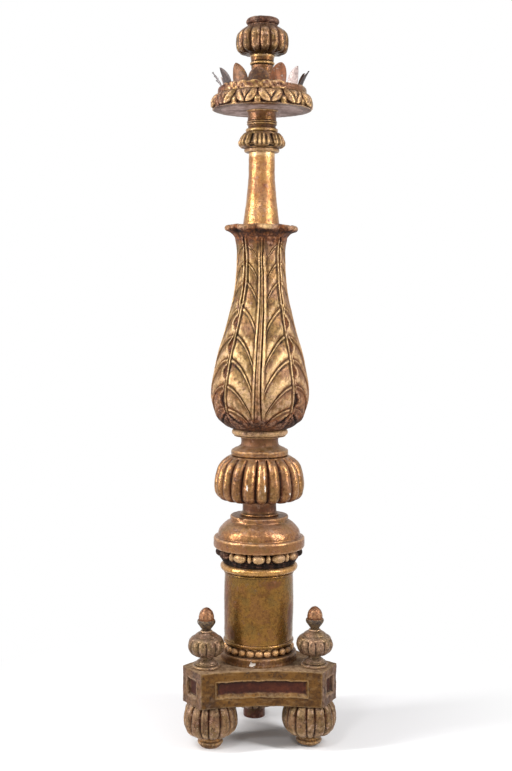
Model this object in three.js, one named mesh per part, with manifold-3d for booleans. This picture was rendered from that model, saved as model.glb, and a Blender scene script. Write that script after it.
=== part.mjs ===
// Torchere candle stand: a carved and gilded wooden floor stand for one large candle.
// Millimetres, +Z up, the front of the triangular base towards -Y.
// It is glued up from turned sections: each section's tenon seats in a mortise of its neighbour.
import * as THREE from 'three';
import { mergeVertices } from 'three/addons/utils/BufferGeometryUtils.js';
import Module from 'manifold-3d';

const wasm = await Module();
wasm.setup();

// ---- driving dimensions ----

const seatGap = 0.3; // left between two pieces that seat on each other
const tenonRadius = 12.5;
const tenonLength = 24;
const mortiseRadius = 13.5;
const mortiseDepth = 25.5;
const overrun = 5; // how far a cut starts outside the wood, or a tenon inside it

// heights of the seats between the sections, from the floor up
const levels = {
  padTop: 27,
  baseBottom: 107,
  baseTop: 191,
  finialFootTop: 218,
  finialKnopTop: 279,
  discTop: 211,
  beadsTop: 230,
  drumTop: 424,
  budsTop: 461,
  capTop: 538,
  knopTop: 681,
  collarTop: 727,
  lipFloor: 1206,
  neckTop: 1392,
  leafCollarTop: 1437,
  panBottom: 1488,
  panTop: 1525,
  panRingTop: 1541,
  stemTop: 1614,
  nozzleTop: 1700,
};

const corners = [
  { side: 'left', azimuth: -60 },
  { side: 'right', azimuth: 60 },
  { side: 'back', azimuth: 180 },
];

const base = {
  cornerReach: 184, // from the column axis to each canted face
  cornerWidth: 78,
  sideSagitta: 20, // how far the middle of a side curves in
  edgeBevel: 2,
  panelHalfLength: 107,
  panelHeight: 38,
  cornerPanel: 41,
  panelDepth: 6,
};

const foot = { circle: 135, bunRadius: 64, lobes: 9, padRadius: 27, glideRadius: 14, glideHeight: 5 };
const finial = { circle: 147, footRadius: 32, knopRadius: 42, lobes: 12, cupRadius: 21, acornRadius: 18 };
const beads = { count: 24, circle: 78, radius: 8.5, innerRadius: 62, azimuth: -3.3 };
const buds = { count: 12, reach: 104, root: 86, azimuth: -4 };
const knop = { lobes: 20, radius: 107, grooveDepth: 5 };
const baluster = {
  leaves: 4,
  azimuth: -4, // of the front leaf's midrib
  radius: 114.5,
  tips: 8,
  tipAzimuth: 13.5,
  lipReach: 86,
  tipDepth: 13,
  leafBottom: 747,
  lipBottom: 1195,
  veinEnds: [801, 854, 915, 969, 1033, 1093, 1137, 1179], // heights where the veins meet the seams
  veinFall: 0.92, // how far a vein falls from the seam to the midrib, as a share of the radius
  veinRoom: 0.85, // the most that it falls near the bottom, as a share of the height left there
  reliefRise: 28, // over this height the carving grows from nothing at the bottom
  reliefEnd: 20, // and over this height it dies away under the lip
  valleyLift: 3, // how far the lip rises between its tips
};
const leafCollar = { leaves: 6, reach: 56 };
const pan = { leaves: 12, radius: 117.5, ringOuter: 103, ringInner: 95.5, leafAzimuth: 6.4 };
const tinLeaf = { count: 13, azimuth: -9, width: 38, height: 56, thickness: 1.2, circle: 92.2 };
const nozzle = { lobes: 15, radius: 61.5, rimRadius: 38, socketRadius: 21, socketDepth: 58 };

// the box of the whole stand is centred on the origin, so the column stands in front of its middle
const frontReach = foot.circle * Math.cos(Math.PI / 3) + foot.bunRadius;
const backReach = foot.circle + foot.bunRadius;
const axisY = (frontReach - backReach) / 2;
const baseMiddle = (levels.baseBottom + levels.baseTop) / 2;

// ---- materials ----

function finish(color, roughness, metalness) {
  return new THREE.MeshStandardMaterial({ color, roughness, metalness });
}

const wornGilding = () => finish(0x9c6f3a, 0.42, 0.7);
const brightGilding = () => finish(0xb98a4a, 0.36, 0.8);
const dullGilding = () => finish(0x7d5f35, 0.6, 0.4);
const copperyGilding = () => finish(0x9a5c35, 0.4, 0.6);
const darkIron = () => finish(0x2b2522, 0.6, 0.6);
const bareTin = () => finish(0x8f8680, 0.45, 0.85);

// ---- geometry helpers ----

const radians = (degrees) => (degrees * Math.PI) / 180;

// a point at a distance from the axis; azimuth 0 is the front, 90 is +X
function around(azimuth, distance, z = 0) {
  const turn = radians(azimuth);
  return new THREE.Vector3(distance * Math.sin(turn), -distance * Math.cos(turn), z);
}

// merges shared vertices and drops the triangles that collapse on the axis of a turning
function closed(geometry) {
  geometry.deleteAttribute('normal');
  geometry.deleteAttribute('uv');
  const merged = mergeVertices(geometry, 1e-4);
  const index = merged.index.array;
  const kept = [];
  for (let i = 0; i < index.length; i += 3) {
    const [a, b, c] = [index[i], index[i + 1], index[i + 2]];
    if (a !== b && b !== c && c !== a) kept.push(a, b, c);
  }
  merged.setIndex(kept);
  return merged;
}

// turns an outline of [radius, height] pairs round the column axis; the outline runs anticlockwise
function turn(outline, sides) {
  const points = outline.map(([r, z]) => new THREE.Vector2(r, z));
  return closed(new THREE.LatheGeometry(points, sides).rotateX(Math.PI / 2));
}

// moves each point of a turned solid: form takes azimuth, radius and height, and returns a new radius and height,
// and a new azimuth where that changes too
function carve(geometry, form) {
  const position = geometry.attributes.position;
  for (let i = 0; i < position.count; i++) {
    const [x, y, z] = [position.getX(i), position.getY(i), position.getZ(i)];
    const radius = Math.hypot(x, y);
    if (radius < 1e-3) continue;
    const azimuth = Math.atan2(x, -y);
    const [newRadius, newZ, newAzimuth = azimuth] = form(azimuth, radius, z);
    position.setXYZ(i, newRadius * Math.sin(newAzimuth), -newRadius * Math.cos(newAzimuth), newZ);
  }
  return geometry;
}

// closes an outline on the axis at its two ends
function column(outer) {
  return [[0, outer[0][1]], ...outer, [0, outer.at(-1)[1]]];
}

// a half round from z0 up to z1 that reaches out to the given radius
function halfRound(reach, z0, z1, steps = 4) {
  const r = (z1 - z0) / 2;
  const points = [];
  for (let i = 0; i <= steps; i++) {
    const angle = -Math.PI / 2 + (Math.PI * i) / steps;
    points.push([reach - r + r * Math.cos(angle), (z0 + z1) / 2 + r * Math.sin(angle)]);
  }
  return points;
}

// a smooth outline through a few [radius, height] points
function smooth(through, steps) {
  const curve = new THREE.SplineCurve(through.map(([r, z]) => new THREE.Vector2(r, z)));
  return curve.getPoints(steps).map((p) => [p.x, p.y]);
}

// 1 on the crest of a lobe and 0 in the groove between two lobes
function lobe(azimuth, count, roundness = 1) {
  return Math.abs(Math.sin((count * azimuth) / 2)) ** roundness;
}

function smoothstep(low, high, value) {
  const t = Math.min(1, Math.max(0, (value - low) / (high - low)));
  return t * t * (3 - 2 * t);
}

// looks a value up in a table of [position, value] pairs, straight between its entries
function lookUp(table, at) {
  const next = table.findIndex(([position]) => position >= at);
  if (next < 1) return (next < 0 ? table.at(-1) : table[0])[1];
  const [[x0, y0], [x1, y1]] = table.slice(next - 1, next + 1);
  return y0 + ((at - x0) / (x1 - x0)) * (y1 - y0);
}

function toManifold(geometry) {
  const merged = closed(geometry);
  return new wasm.Manifold(
    new wasm.Mesh({
      numProp: 3,
      vertProperties: new Float32Array(merged.attributes.position.array),
      triVerts: new Uint32Array(merged.index.array),
    }),
  );
}

function fromManifold(solid) {
  const mesh = solid.getMesh();
  const geometry = new THREE.BufferGeometry();
  geometry.setAttribute('position', new THREE.BufferAttribute(mesh.vertProperties, 3));
  geometry.setIndex(new THREE.BufferAttribute(mesh.triVerts, 1));
  return geometry;
}

function peg(radius, z0, z1) {
  const cylinder = new THREE.CylinderGeometry(radius, radius, z1 - z0, 12);
  return toManifold(cylinder.rotateX(Math.PI / 2).translate(0, 0, (z0 + z1) / 2));
}

// cuts the mortise into the bottom of a section, and sets the tenon on its top or under its bottom
function joint(geometry, { mortiseAt, tenonAt, tenonUnder }) {
  let solid = toManifold(geometry);
  if (mortiseAt !== undefined) {
    solid = solid.subtract(peg(mortiseRadius, mortiseAt - overrun, mortiseAt + mortiseDepth));
  }
  if (tenonAt !== undefined) solid = solid.add(peg(tenonRadius, tenonAt - overrun, tenonAt + tenonLength));
  if (tenonUnder !== undefined) {
    solid = solid.add(peg(tenonRadius, tenonUnder - tenonLength, tenonUnder + overrun));
  }
  return fromManifold(solid);
}

// ---- the assembly ----

const stand = new THREE.Group();
stand.position.y = axisY;

function add(name, geometry, material, parent = stand) {
  const mesh = new THREE.Mesh(geometry, material);
  mesh.name = name;
  parent.add(mesh);
  return mesh;
}

// a group that stands at a corner of the base and faces outwards
function cornerGroup(azimuth, distance) {
  const group = new THREE.Group();
  group.position.copy(around(azimuth, distance));
  group.rotation.z = radians(azimuth);
  stand.add(group);
  return group;
}

// ---- base ----

// the concave side of the base is an arc whose centre lies out in front of it
function sideArc(azimuth) {
  const half = base.cornerWidth / 2;
  const chord = base.cornerReach * Math.sin(Math.PI / 3) - half / 2;
  const chordDistance = base.cornerReach / 2 + half * Math.sin(Math.PI / 3);
  const radius = (chord ** 2 + base.sideSagitta ** 2) / (2 * base.sideSagitta);
  const centre = around(azimuth, chordDistance - base.sideSagitta + radius);
  return { centre, radius, middle: radians(azimuth) + Math.PI / 2, halfAngle: Math.asin(chord / radius) };
}

// three canted corners joined by three concave arcs
function baseBlock() {
  const plan = new THREE.Shape();
  for (const azimuth of [0, 120, 240]) {
    const { centre, radius, middle, halfAngle } = sideArc(azimuth);
    plan.absarc(centre.x, centre.y, radius, middle + halfAngle, middle - halfAngle, true);
  }
  const block = new THREE.ExtrudeGeometry(plan, {
    depth: levels.baseTop - levels.baseBottom - 2 * base.edgeBevel,
    bevelSize: base.edgeBevel,
    bevelOffset: -base.edgeBevel,
    bevelThickness: base.edgeBevel,
    bevelSegments: 1,
    curveSegments: 5,
  });
  return block.translate(0, 0, levels.baseBottom + base.edgeBevel);
}

// what is cut away for a long sunk panel that follows the curve of a side
function sidePanelCut(azimuth) {
  const { centre, radius, middle } = sideArc(azimuth);
  const halfAngle = Math.asin(base.panelHalfLength / radius);
  const plan = new THREE.Shape();
  plan.absarc(centre.x, centre.y, radius + base.panelDepth, middle - halfAngle, middle + halfAngle);
  plan.absarc(centre.x, centre.y, radius - base.panelDepth, middle + halfAngle, middle - halfAngle, true);
  const settings = { depth: base.panelHeight, bevelEnabled: false, curveSegments: 5 };
  return new THREE.ExtrudeGeometry(plan, settings).translate(0, 0, baseMiddle - base.panelHeight / 2);
}

function cornerPanelCut(azimuth) {
  const at = around(azimuth, base.cornerReach, baseMiddle);
  return new THREE.BoxGeometry(base.cornerPanel, 2 * base.panelDepth, base.cornerPanel)
    .rotateZ(radians(azimuth))
    .translate(at.x, at.y, at.z);
}

function buildBase() {
  let block = toManifold(baseBlock());
  const mortise = (azimuth, distance, z0, z1) => {
    const at = around(azimuth, distance);
    block = block.subtract(peg(mortiseRadius, z0, z1).translate([at.x, at.y, 0]));
  };
  for (const { azimuth } of corners) {
    block = block.subtract(toManifold(cornerPanelCut(azimuth)));
    block = block.subtract(toManifold(sidePanelCut(azimuth + 180)));
    mortise(azimuth, foot.circle, levels.baseBottom - overrun, levels.baseBottom + mortiseDepth);
    mortise(azimuth, finial.circle, levels.baseTop - mortiseDepth, levels.baseTop + overrun);
  }
  mortise(0, 0, levels.baseTop - mortiseDepth, levels.baseTop + overrun);
  add('base_plinth', fromManifold(block), dullGilding());
}

// ---- feet ----

function bunGeometry() {
  const [z0, z1] = [levels.padTop + seatGap, levels.baseBottom - seatGap];
  const outline = smooth([[30, z0], [53, 36], [foot.bunRadius, 60], [61, 88], [44, z1]], 5);
  const bun = carve(turn(column(outline), foot.lobes * 3), (azimuth, r, z) => {
    const depth = 7 * smoothstep(28, 50, r);
    return [r - depth * (1 - lobe(azimuth, foot.lobes, 0.6)), z];
  });
  return joint(bun, { mortiseAt: z0, tenonAt: z1 });
}

function padGeometry(z0) {
  const z1 = levels.padTop;
  const outline = [[foot.padRadius - 3, z0], [foot.padRadius, z0 + 4], [foot.padRadius, z1 - 9], [24, z1]];
  return joint(turn(column(outline), 14), { tenonAt: z1 });
}

function glideGeometry() {
  const top = foot.glideHeight - seatGap;
  return turn(column([[foot.glideRadius - 1, 0], [foot.glideRadius, 1], [foot.glideRadius, top]]), 12);
}

function buildFeet() {
  for (const { side, azimuth } of corners) {
    const group = cornerGroup(azimuth, foot.circle);
    const hasGlide = side === 'right';
    add(`foot_bun_${side}`, bunGeometry(), dullGilding(), group);
    add(`foot_pad_${side}`, padGeometry(hasGlide ? foot.glideHeight : 0), wornGilding(), group);
    if (hasGlide) add('foot_glide_right', glideGeometry(), darkIron(), group);
  }
}

// ---- finials ----

function finialFootGeometry() {
  const [z0, z1] = [levels.baseTop + seatGap, levels.finialFootTop];
  const edge = finial.footRadius;
  const outline = [[edge - 3, z0], [edge, z0 + 3], [edge - 1, z0 + 8], [25, 202], [15, 210], [14, z1]];
  return joint(turn(column(outline), 12), { tenonUnder: z0 });
}

function finialKnopGeometry() {
  const [z0, z1] = [levels.finialFootTop + seatGap, levels.finialKnopTop];
  const outline = smooth([[15, z0], [34, 225], [finial.knopRadius, 243], [34, 265], [16, z1]], 4);
  return carve(turn(column(outline), finial.lobes * 2), (azimuth, r, z) => {
    const depth = 4.5 * smoothstep(16, 34, r);
    return [r - depth * (1 - lobe(azimuth, finial.lobes)), z];
  });
}

function finialAcornGeometry() {
  const z0 = levels.finialKnopTop + seatGap;
  const cup = [[10, z0], [14, 287], [finial.cupRadius, 297], [finial.cupRadius, 302]];
  const nut = smooth([[finial.acornRadius - 2, 303.5], [finial.acornRadius, 311], [12, 324], [2, 333]], 4);
  return turn(column([...cup, ...nut]), 10);
}

function buildFinials() {
  for (const { side, azimuth } of corners) {
    const group = cornerGroup(azimuth, finial.circle);
    add(`finial_foot_${side}`, finialFootGeometry(), dullGilding(), group);
    add(`finial_knop_${side}`, finialKnopGeometry(), dullGilding(), group);
    add(`finial_acorn_${side}`, finialAcornGeometry(), copperyGilding(), group);
  }
}

// ---- column ----

function columnDiscGeometry() {
  const [z0, z1] = [levels.baseTop + seatGap, levels.discTop];
  const disc = turn(column([[91, z0], [91, z1 - 2], [89, z1]]), 20);
  return joint(disc, { tenonUnder: z0, tenonAt: z1 });
}

// a ring whose outer face swells into one bead after another
function beadRingGeometry() {
  const { count, circle, radius, innerRadius } = beads;
  const [z0, z1] = [levels.discTop + seatGap, levels.beadsTop];
  const outer = halfRound(circle + radius, z0 + 1, z1 - 1, 2);
  const outline = [[innerRadius, z0], ...outer, [innerRadius, z1], [innerRadius, z0]];
  const ring = carve(turn(outline, count * 3), (azimuth, r, z) => {
    const bulge = Math.max(0, r - circle);
    return [r - 0.75 * bulge * (1 - lobe(azimuth, count, 0.7)), z];
  });
  return ring.rotateZ(radians(beads.azimuth - 180 / count));
}

function drumGeometry() {
  const [z0, z1] = [levels.discTop + seatGap, levels.drumTop];
  const core = beads.innerRadius - 1.5;
  const shelf = levels.beadsTop + seatGap;
  const outline = [
    [core, z0],
    [core, shelf],
    [80, shelf],
    [84.5, 233],
    [84.5, 239],
    [82, 242],
    [82, 399],
    [84.5, 403],
    ...halfRound(92.5, 407, z1, 3),
  ];
  return joint(turn(column(outline), 20), { mortiseAt: z0, tenonAt: z1 });
}

// wide buds with narrow darts between them, overhanging the drum
function budBandGeometry() {
  const { count, reach, root, azimuth: first } = buds;
  const [z0, z1] = [levels.drumTop + seatGap, levels.budsTop];
  const outline = [[root, z0], [root + 4, 434], [reach - 2, 442], [reach, 450], [reach - 5, z1]];
  const band = carve(turn(column(outline), count * 4), (azimuth, r, z) => {
    const turns = ((azimuth - radians(first)) * count) / (2 * Math.PI);
    const offset = 2 * Math.abs(turns - Math.round(turns)); // 0 on a bud, 1 on a dart
    const crest = offset < 0.6 ? 1 : offset > 0.85 ? 0.6 : 0;
    return [r > root ? root + (r - root) * (0.25 + 0.75 * crest) : r, z];
  });
  return joint(band, { mortiseAt: z0, tenonAt: z1 });
}

function capGeometry() {
  const [z0, z1] = [levels.budsTop + seatGap, levels.capTop];
  const dome = smooth([[98, 490], [97, 500], [88, 514], [74, 525]], 4);
  const outline = [[106, z0], [108.7, 465], [108.7, 485], [106, 488], ...dome, [69, 529], [69, 536], [66, z1]];
  return joint(turn(column(outline), 20), { mortiseAt: z0, tenonAt: z1 });
}

function buildColumn() {
  add('column_base_disc', columnDiscGeometry(), wornGilding());
  add('column_bead_ring', beadRingGeometry(), brightGilding());
  add('column_drum', drumGeometry(), wornGilding());
  add('column_bud_band', budBandGeometry(), wornGilding());
  add('column_cap', capGeometry(), wornGilding());
}

// ---- gadrooned knop and collar ----

function knopGeometry() {
  const { lobes, radius, grooveDepth } = knop;
  const [z0, z1] = [levels.capTop + seatGap, levels.knopTop];
  const belly = smooth([[80, 574], [98, 582], [radius, 605], [102, 644], [84, 672], [64, z1]], 5);
  const outline = [[40, z0], [46, 542], [41, 549], [41, 573], ...belly];
  const body = carve(turn(column(outline), lobes * 3), (azimuth, r, z) => {
    const depth = grooveDepth * smoothstep(55, 85, r);
    return [r - depth * (1 - lobe(azimuth, lobes, 0.8)), z];
  });
  return joint(body, { mortiseAt: z0, tenonAt: z1 });
}

function collarGeometry() {
  const [z0, z1] = [levels.knopTop + seatGap, levels.collarTop];
  const outline = [[62, z0], ...halfRound(68, 682, 696, 3), [60, 699], [44, 708], [45, z1]];
  return joint(turn(column(outline), 20), { mortiseAt: z0, tenonAt: z1 });
}

// ---- acanthus baluster ----

// the outline of the leaves as [height, radius] pairs, from under the widest part up to the lip
const leafBelly = [[70, 747], [93, 763], [107, 790], [baluster.radius, 828], [111, 870], [100, 921]];
const leafWaist = [[87, 963], [75, 1013], [65, 1060], [59, 1110], [57, 1165], [62, 1195]];
const leafOutline = smooth([...leafBelly, ...leafWaist], 40).map(([r, z]) => [z, r]);

// half a leaf from its midrib: where the columns of points lie, in degrees, and the carving at each, in mm
const leafColumns = [[0, 0], [1, 6.5], [2, 20], [3, 32], [4, 41], [5, 45]];
const leafRelief = [[0, 2.6], [6.5, -1.5], [20, 0], [32, 0], [41, 1.2], [45, -7]];
const veinStrength = [[0, 0], [6.5, 0.4], [20, 1], [32, 1], [41, 0.6], [45, 0]];
const veinProfile = [[0, -3], [0.35, 0], [0.92, 1.8], [1, -3]]; // from the groove over one vein up to the next
const veinLevels = [baluster.leafBottom, ...baluster.veinEnds, baluster.lipBottom];
const veinSteps = veinLevels.map((level, i) => [level, i]);

// the rows of points of the leaves follow the veins, and these are their heights on a seam
function leafRows() {
  const rows = [];
  for (let i = 1; i < veinLevels.length; i++) {
    const [low, high] = [veinLevels[i - 1], veinLevels[i]];
    for (const [share] of veinProfile.slice(0, -1)) rows.push(low + share * (high - low));
  }
  return [...rows, baluster.lipBottom];
}

// foot ring, pear-shaped body, and a lip that turns out round a shallow hollow
function balusterOutline() {
  const reach = baluster.lipReach;
  const lip = [[70, 1203], [reach - 4, 1208], [reach, 1214], [reach - 2, 1221], [reach - 16, 1221], [56, 1211]];
  const foot = [[50, levels.collarTop + seatGap], ...halfRound(66.5, 730, 745, 2)];
  const body = leafRows().map((z) => [lookUp(leafOutline, z), z]);
  return [...foot, ...body, ...lip, [46, levels.lipFloor]];
}

// each leaf has a raised midrib, veins that sweep down to it, and a deep seam where it meets the next
function carveLeaf(azimuth, level) {
  const { leaves, leafBottom, lipBottom, veinEnds, veinFall, veinRoom, reliefRise, reliefEnd } = baluster;
  const turns = (azimuth * leaves) / (2 * Math.PI);
  const middle = Math.round(turns);
  const degrees = lookUp(leafColumns, Math.abs(turns - middle) * 2 * leafColumns.at(-1)[0]);
  const [ribEdge, seam] = [leafColumns[1][1], leafColumns.at(-1)[1]];
  const inward = Math.min(1, (seam - degrees) / (seam - ribEdge)); // 0 on the seam, 1 beside the midrib
  const bend = (inward ** 2 + 1 - Math.sqrt(1 - inward ** 2)) / 2;
  const reach = Math.min(veinFall * lookUp(leafOutline, level), veinRoom * (level - leafBottom));
  const z = level - reach * bend * (1 - smoothstep(veinEnds.at(-1), lipBottom, level));
  const vein = lookUp(veinProfile, lookUp(veinSteps, level) % 1) * lookUp(veinStrength, degrees);
  const rise = smoothstep(leafBottom, leafBottom + reliefRise, z);
  const fade = rise * (1 - smoothstep(lipBottom - reliefEnd, lipBottom, level));
  const radius = lookUp(leafOutline, z) + (lookUp(leafRelief, degrees) + vein) * fade;
  return [radius, z, ((middle * 360) / leaves + Math.sign(turns - middle) * degrees) * (Math.PI / 180)];
}

// the lip is drawn back between the leaf tips
function carveLip(azimuth, r, z) {
  const { azimuth: front, tips, tipAzimuth, tipDepth, lipReach, valleyLift } = baluster;
  const valley = (1 - Math.cos(tips * (azimuth + radians(front - tipAzimuth)))) / 2;
  const swing = valley * smoothstep(62, lipReach, r);
  return [r - tipDepth * swing, z + valleyLift * swing];
}

function balusterGeometry() {
  const { leaves, azimuth: front, leafBottom, lipBottom } = baluster;
  const columns = 2 * leaves * (leafColumns.length - 1);
  const body = carve(turn(column(balusterOutline()), columns), (azimuth, r, z) => {
    if (z > lipBottom) return carveLip(azimuth, r, z);
    return z < leafBottom ? [r, z] : carveLeaf(azimuth, z);
  });
  return joint(body.rotateZ(radians(front)), { mortiseAt: levels.collarTop + seatGap, tenonAt: levels.lipFloor });
}

// ---- neck shaft, leaf collar and pan stem ----

function neckGeometry() {
  const [z0, z1] = [levels.lipFloor + seatGap, levels.neckTop];
  const outline = smooth([[45, z0], [41, 1237], [36.5, 1272], [32.7, 1314], [30.4, 1345], [30.4, z1]], 4);
  return joint(turn(column(outline), 20), { mortiseAt: z0, tenonAt: z1 });
}

function leafCollarGeometry() {
  const [z0, z1] = [levels.neckTop + seatGap, levels.leafCollarTop];
  const outline = [[39, z0], [43, 1397], [48, 1402], [leafCollar.reach, 1410], [54, 1418], [49, 1430], [41, z1]];
  const leaves = carve(turn(column(outline), leafCollar.leaves * 4), (azimuth, r, z) => {
    const depth = 5 * smoothstep(44, 50, r);
    return [r - depth * (1 - lobe(azimuth, leafCollar.leaves, 0.5)), z];
  });
  return joint(leaves, { mortiseAt: z0, tenonAt: z1 });
}

function panStemGeometry() {
  const [z0, z1] = [levels.leafCollarTop + seatGap, levels.panBottom];
  const rings = [...halfRound(37.5, z0, 1447, 2), [32, 1449], ...halfRound(35, 1455, 1461, 2)];
  return joint(turn(column([...rings, [33.5, 1463], [34, z1]]), 16), { mortiseAt: z0, tenonAt: z1 });
}

// ---- drip pan with its ring and sheet-metal leaves ----

function panGeometry() {
  const { radius, leaves, leafAzimuth } = pan;
  const [z0, z1] = [levels.panBottom + seatGap, levels.panTop];
  const outline = [[108, z0], [115, 1491], [radius, 1499], [116, 1510], [109, 1520], [104, z1]];
  const dish = carve(turn(column(outline), leaves * 4), (azimuth, r, z) => {
    const depth = 6 * smoothstep(102, 113, r);
    const fromSeam = azimuth - radians(leafAzimuth) + Math.PI / leaves;
    return [r - depth * (1 - lobe(fromSeam, leaves, 0.6)), z];
  });
  return joint(dish, { mortiseAt: z0, tenonAt: z1 });
}

function panRingGeometry() {
  const { ringOuter, ringInner } = pan;
  const [z0, z1] = [levels.panTop + seatGap, levels.panRingTop];
  const outer = [[ringOuter, z0], [ringOuter, z1 - 3], [ringOuter - 2, z1]];
  return turn([[ringInner, z0], ...outer, [ringInner, z1], [ringInner, z0]], 26);
}

// widest below the middle, pointed above, curved round the pan and leaning out
function tinLeafGeometry(lean) {
  const { width, height, thickness, circle } = tinLeaf;
  const leaf = new THREE.BoxGeometry(width, thickness, height, 2, 1, 3);
  const position = leaf.attributes.position;
  for (let i = 0; i < position.count; i++) {
    const up = position.getZ(i) / height + 0.5;
    const spread = up < 0.3 ? 0.85 : Math.cos(((up - 0.3) / 0.7) * 1.45) ** 0.6;
    const distance = circle - position.getY(i) + lean * up ** 2;
    const azimuth = ((position.getX(i) * spread) / circle) * (180 / Math.PI);
    const at = around(azimuth, distance, levels.panTop + seatGap + up * height);
    position.setXYZ(i, at.x, at.y, at.z);
  }
  return closed(leaf);
}

function buildPan() {
  add('drip_pan', panGeometry(), wornGilding());
  add('pan_edge_ring', panRingGeometry(), copperyGilding());
  for (let i = 0; i < tinLeaf.count; i++) {
    const lean = i % 3 === 0 ? 13 : 8; // some are bent out further
    const leaf = add(`tin_leaf_${String(i + 1).padStart(2, '0')}`, tinLeafGeometry(lean), bareTin());
    leaf.rotation.z = radians(tinLeaf.azimuth + (360 * i) / tinLeaf.count);
  }
}

// ---- nozzle ----

function nozzleStemGeometry() {
  const [z0, z1] = [levels.panTop + seatGap, levels.stemTop];
  const waist = smooth([[36, 1534], [27, 1552], [25, 1585]], 2);
  const outline = [[40, z0], [40, 1531], ...waist, ...halfRound(28.5, 1592, 1600, 2), [27, 1603], [28, z1]];
  return joint(turn(column(outline), 16), { mortiseAt: z0, tenonAt: z1 });
}

// lobed bulb, short neck and rolled rim round the candle socket
function nozzleGeometry() {
  const { lobes, radius, rimRadius, socketRadius, socketDepth } = nozzle;
  const [z0, z1] = [levels.stemTop + seatGap, levels.nozzleTop];
  const bulb = smooth([[38, 1617], [54, 1621], [radius, 1645], [58, 1663], [36, 1679]], 5);
  const rim = halfRound(rimRadius, 1683, 1698, 2);
  const outline = [[30, z0], ...bulb, [34.5, 1681], ...rim, [socketRadius + 2, z1]];
  const body = carve(turn(column(outline), lobes * 2), (azimuth, r, z) => {
    const depth = z < 1680 ? 4.5 * smoothstep(34, 52, r) : 0;
    return [r - depth * (1 - lobe(azimuth, lobes, 0.8)), z];
  });
  const socket = turn(column([[socketRadius, z1 - socketDepth], [socketRadius, z1 + overrun]]), 20);
  const bored = toManifold(body).subtract(toManifold(socket));
  return fromManifold(bored.subtract(peg(mortiseRadius, z0 - overrun, z0 + mortiseDepth)));
}

buildBase();
buildFeet();
buildFinials();
buildColumn();
add('gadrooned_knop', knopGeometry(), copperyGilding());
add('knop_collar', collarGeometry(), wornGilding());
add('leaf_baluster', balusterGeometry(), wornGilding());
add('neck_shaft', neckGeometry(), brightGilding());
add('leaf_collar', leafCollarGeometry(), wornGilding());
add('pan_stem', panStemGeometry(), brightGilding());
buildPan();
add('nozzle_stem', nozzleStemGeometry(), wornGilding());
add('candle_nozzle', nozzleGeometry(), wornGilding());

export default stand;
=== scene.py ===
# Torchere candle stand: carved, turned and gilded wood, worn down to the red bole in places.
# Outlines are (radius, height) pairs in millimetres, measured from the column axis and the floor.
import bmesh
import bpy
import numpy as np
import random
from functools import reduce
from math import cos, pi, radians, sin, sqrt, tau
from mathutils import Matrix, Vector, noise
from types import SimpleNamespace


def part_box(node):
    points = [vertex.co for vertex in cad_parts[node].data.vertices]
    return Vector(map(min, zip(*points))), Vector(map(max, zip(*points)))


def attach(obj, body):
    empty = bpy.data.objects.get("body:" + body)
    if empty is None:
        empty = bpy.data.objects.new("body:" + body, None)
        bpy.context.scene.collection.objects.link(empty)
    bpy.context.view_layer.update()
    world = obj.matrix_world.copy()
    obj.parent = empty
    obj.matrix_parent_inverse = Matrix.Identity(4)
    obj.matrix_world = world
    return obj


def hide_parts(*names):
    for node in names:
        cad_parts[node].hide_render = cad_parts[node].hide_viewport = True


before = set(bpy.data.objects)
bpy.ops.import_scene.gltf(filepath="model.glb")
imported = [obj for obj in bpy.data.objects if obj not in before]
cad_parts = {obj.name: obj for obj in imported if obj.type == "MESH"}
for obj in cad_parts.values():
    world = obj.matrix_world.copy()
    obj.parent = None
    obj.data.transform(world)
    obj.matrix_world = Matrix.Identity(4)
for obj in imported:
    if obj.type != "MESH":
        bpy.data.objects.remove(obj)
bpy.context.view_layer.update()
print("frame loaded")

mm = 0.001
shaftLow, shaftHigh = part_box("neck_shaft")
axis = (shaftLow + shaftHigh) / 2 / mm  # the column axis, in mm


# ---- camera, lamps and floor ----

view = {
    "distance": 2833.5,  # mm, level, from the column axis
    "height": 1063.2,
    "azimuth": -4.0,  # degrees round the axis, 0 is the front and + is towards +X
    "pitch": -4.36,
    "yaw": 0.2,  # the axis stands a little right of the middle of the frame
    "roll": 0.37,
    "lens": 56.0,
    "sensor": 36.0,
}


def around(azimuth, distance, height=0.0):
    turn = radians(azimuth)
    return Vector((axis.x + distance * sin(turn), axis.y - distance * cos(turn), height)) * mm


def newObject(name, data):
    made = bpy.data.objects.new(name, data)
    bpy.context.collection.objects.link(made)
    return made


def makeCamera():
    camera = newObject("camera", bpy.data.cameras.new("camera"))
    camera.data.sensor_width = view["sensor"]
    camera.data.lens = view["lens"]
    camera.location = around(view["azimuth"], view["distance"], view["height"])
    aim = Matrix.Rotation(radians(view["azimuth"] + view["yaw"]), 4, "Z")
    aim = aim @ Matrix.Rotation(radians(90 + view["pitch"]), 4, "X")
    aim = aim @ Matrix.Rotation(radians(view["roll"]), 4, "Z")
    camera.rotation_euler = aim.to_euler()
    bpy.context.scene.camera = camera


light = {
    "world": 0.36,
    # tall soft boxes, far out on both sides of the camera
    "left": {"azimuth": -76, "distance": 1900, "height": 1750, "size": (380, 2500), "power": 75},
    "right": {"azimuth": 56, "distance": 1900, "height": 1850, "size": (330, 2300), "power": 55},
    "front": {"azimuth": -24, "distance": 2300, "height": 2500, "size": (450, 450), "power": 14},
    "aimHeight": 850,
    "floorSize": 40,  # m, half a side
    "floorColour": (0.9, 0.895, 0.905),
    "shadowReach": (330, 900),  # mm from the column; further out the floor is plain white
}


def makeLamp(name, lamp):
    data = bpy.data.lights.new(name, "AREA")
    data.shape = "RECTANGLE"
    data.size, data.size_y = [size * mm for size in lamp["size"]]
    data.energy = lamp["power"]
    made = newObject(name, data)
    made.location = around(lamp["azimuth"], lamp["distance"], lamp["height"])
    aim = around(0, 0, light["aimHeight"]) - made.location
    made.rotation_euler = aim.to_track_quat("-Z", "Y").to_euler()


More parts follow.
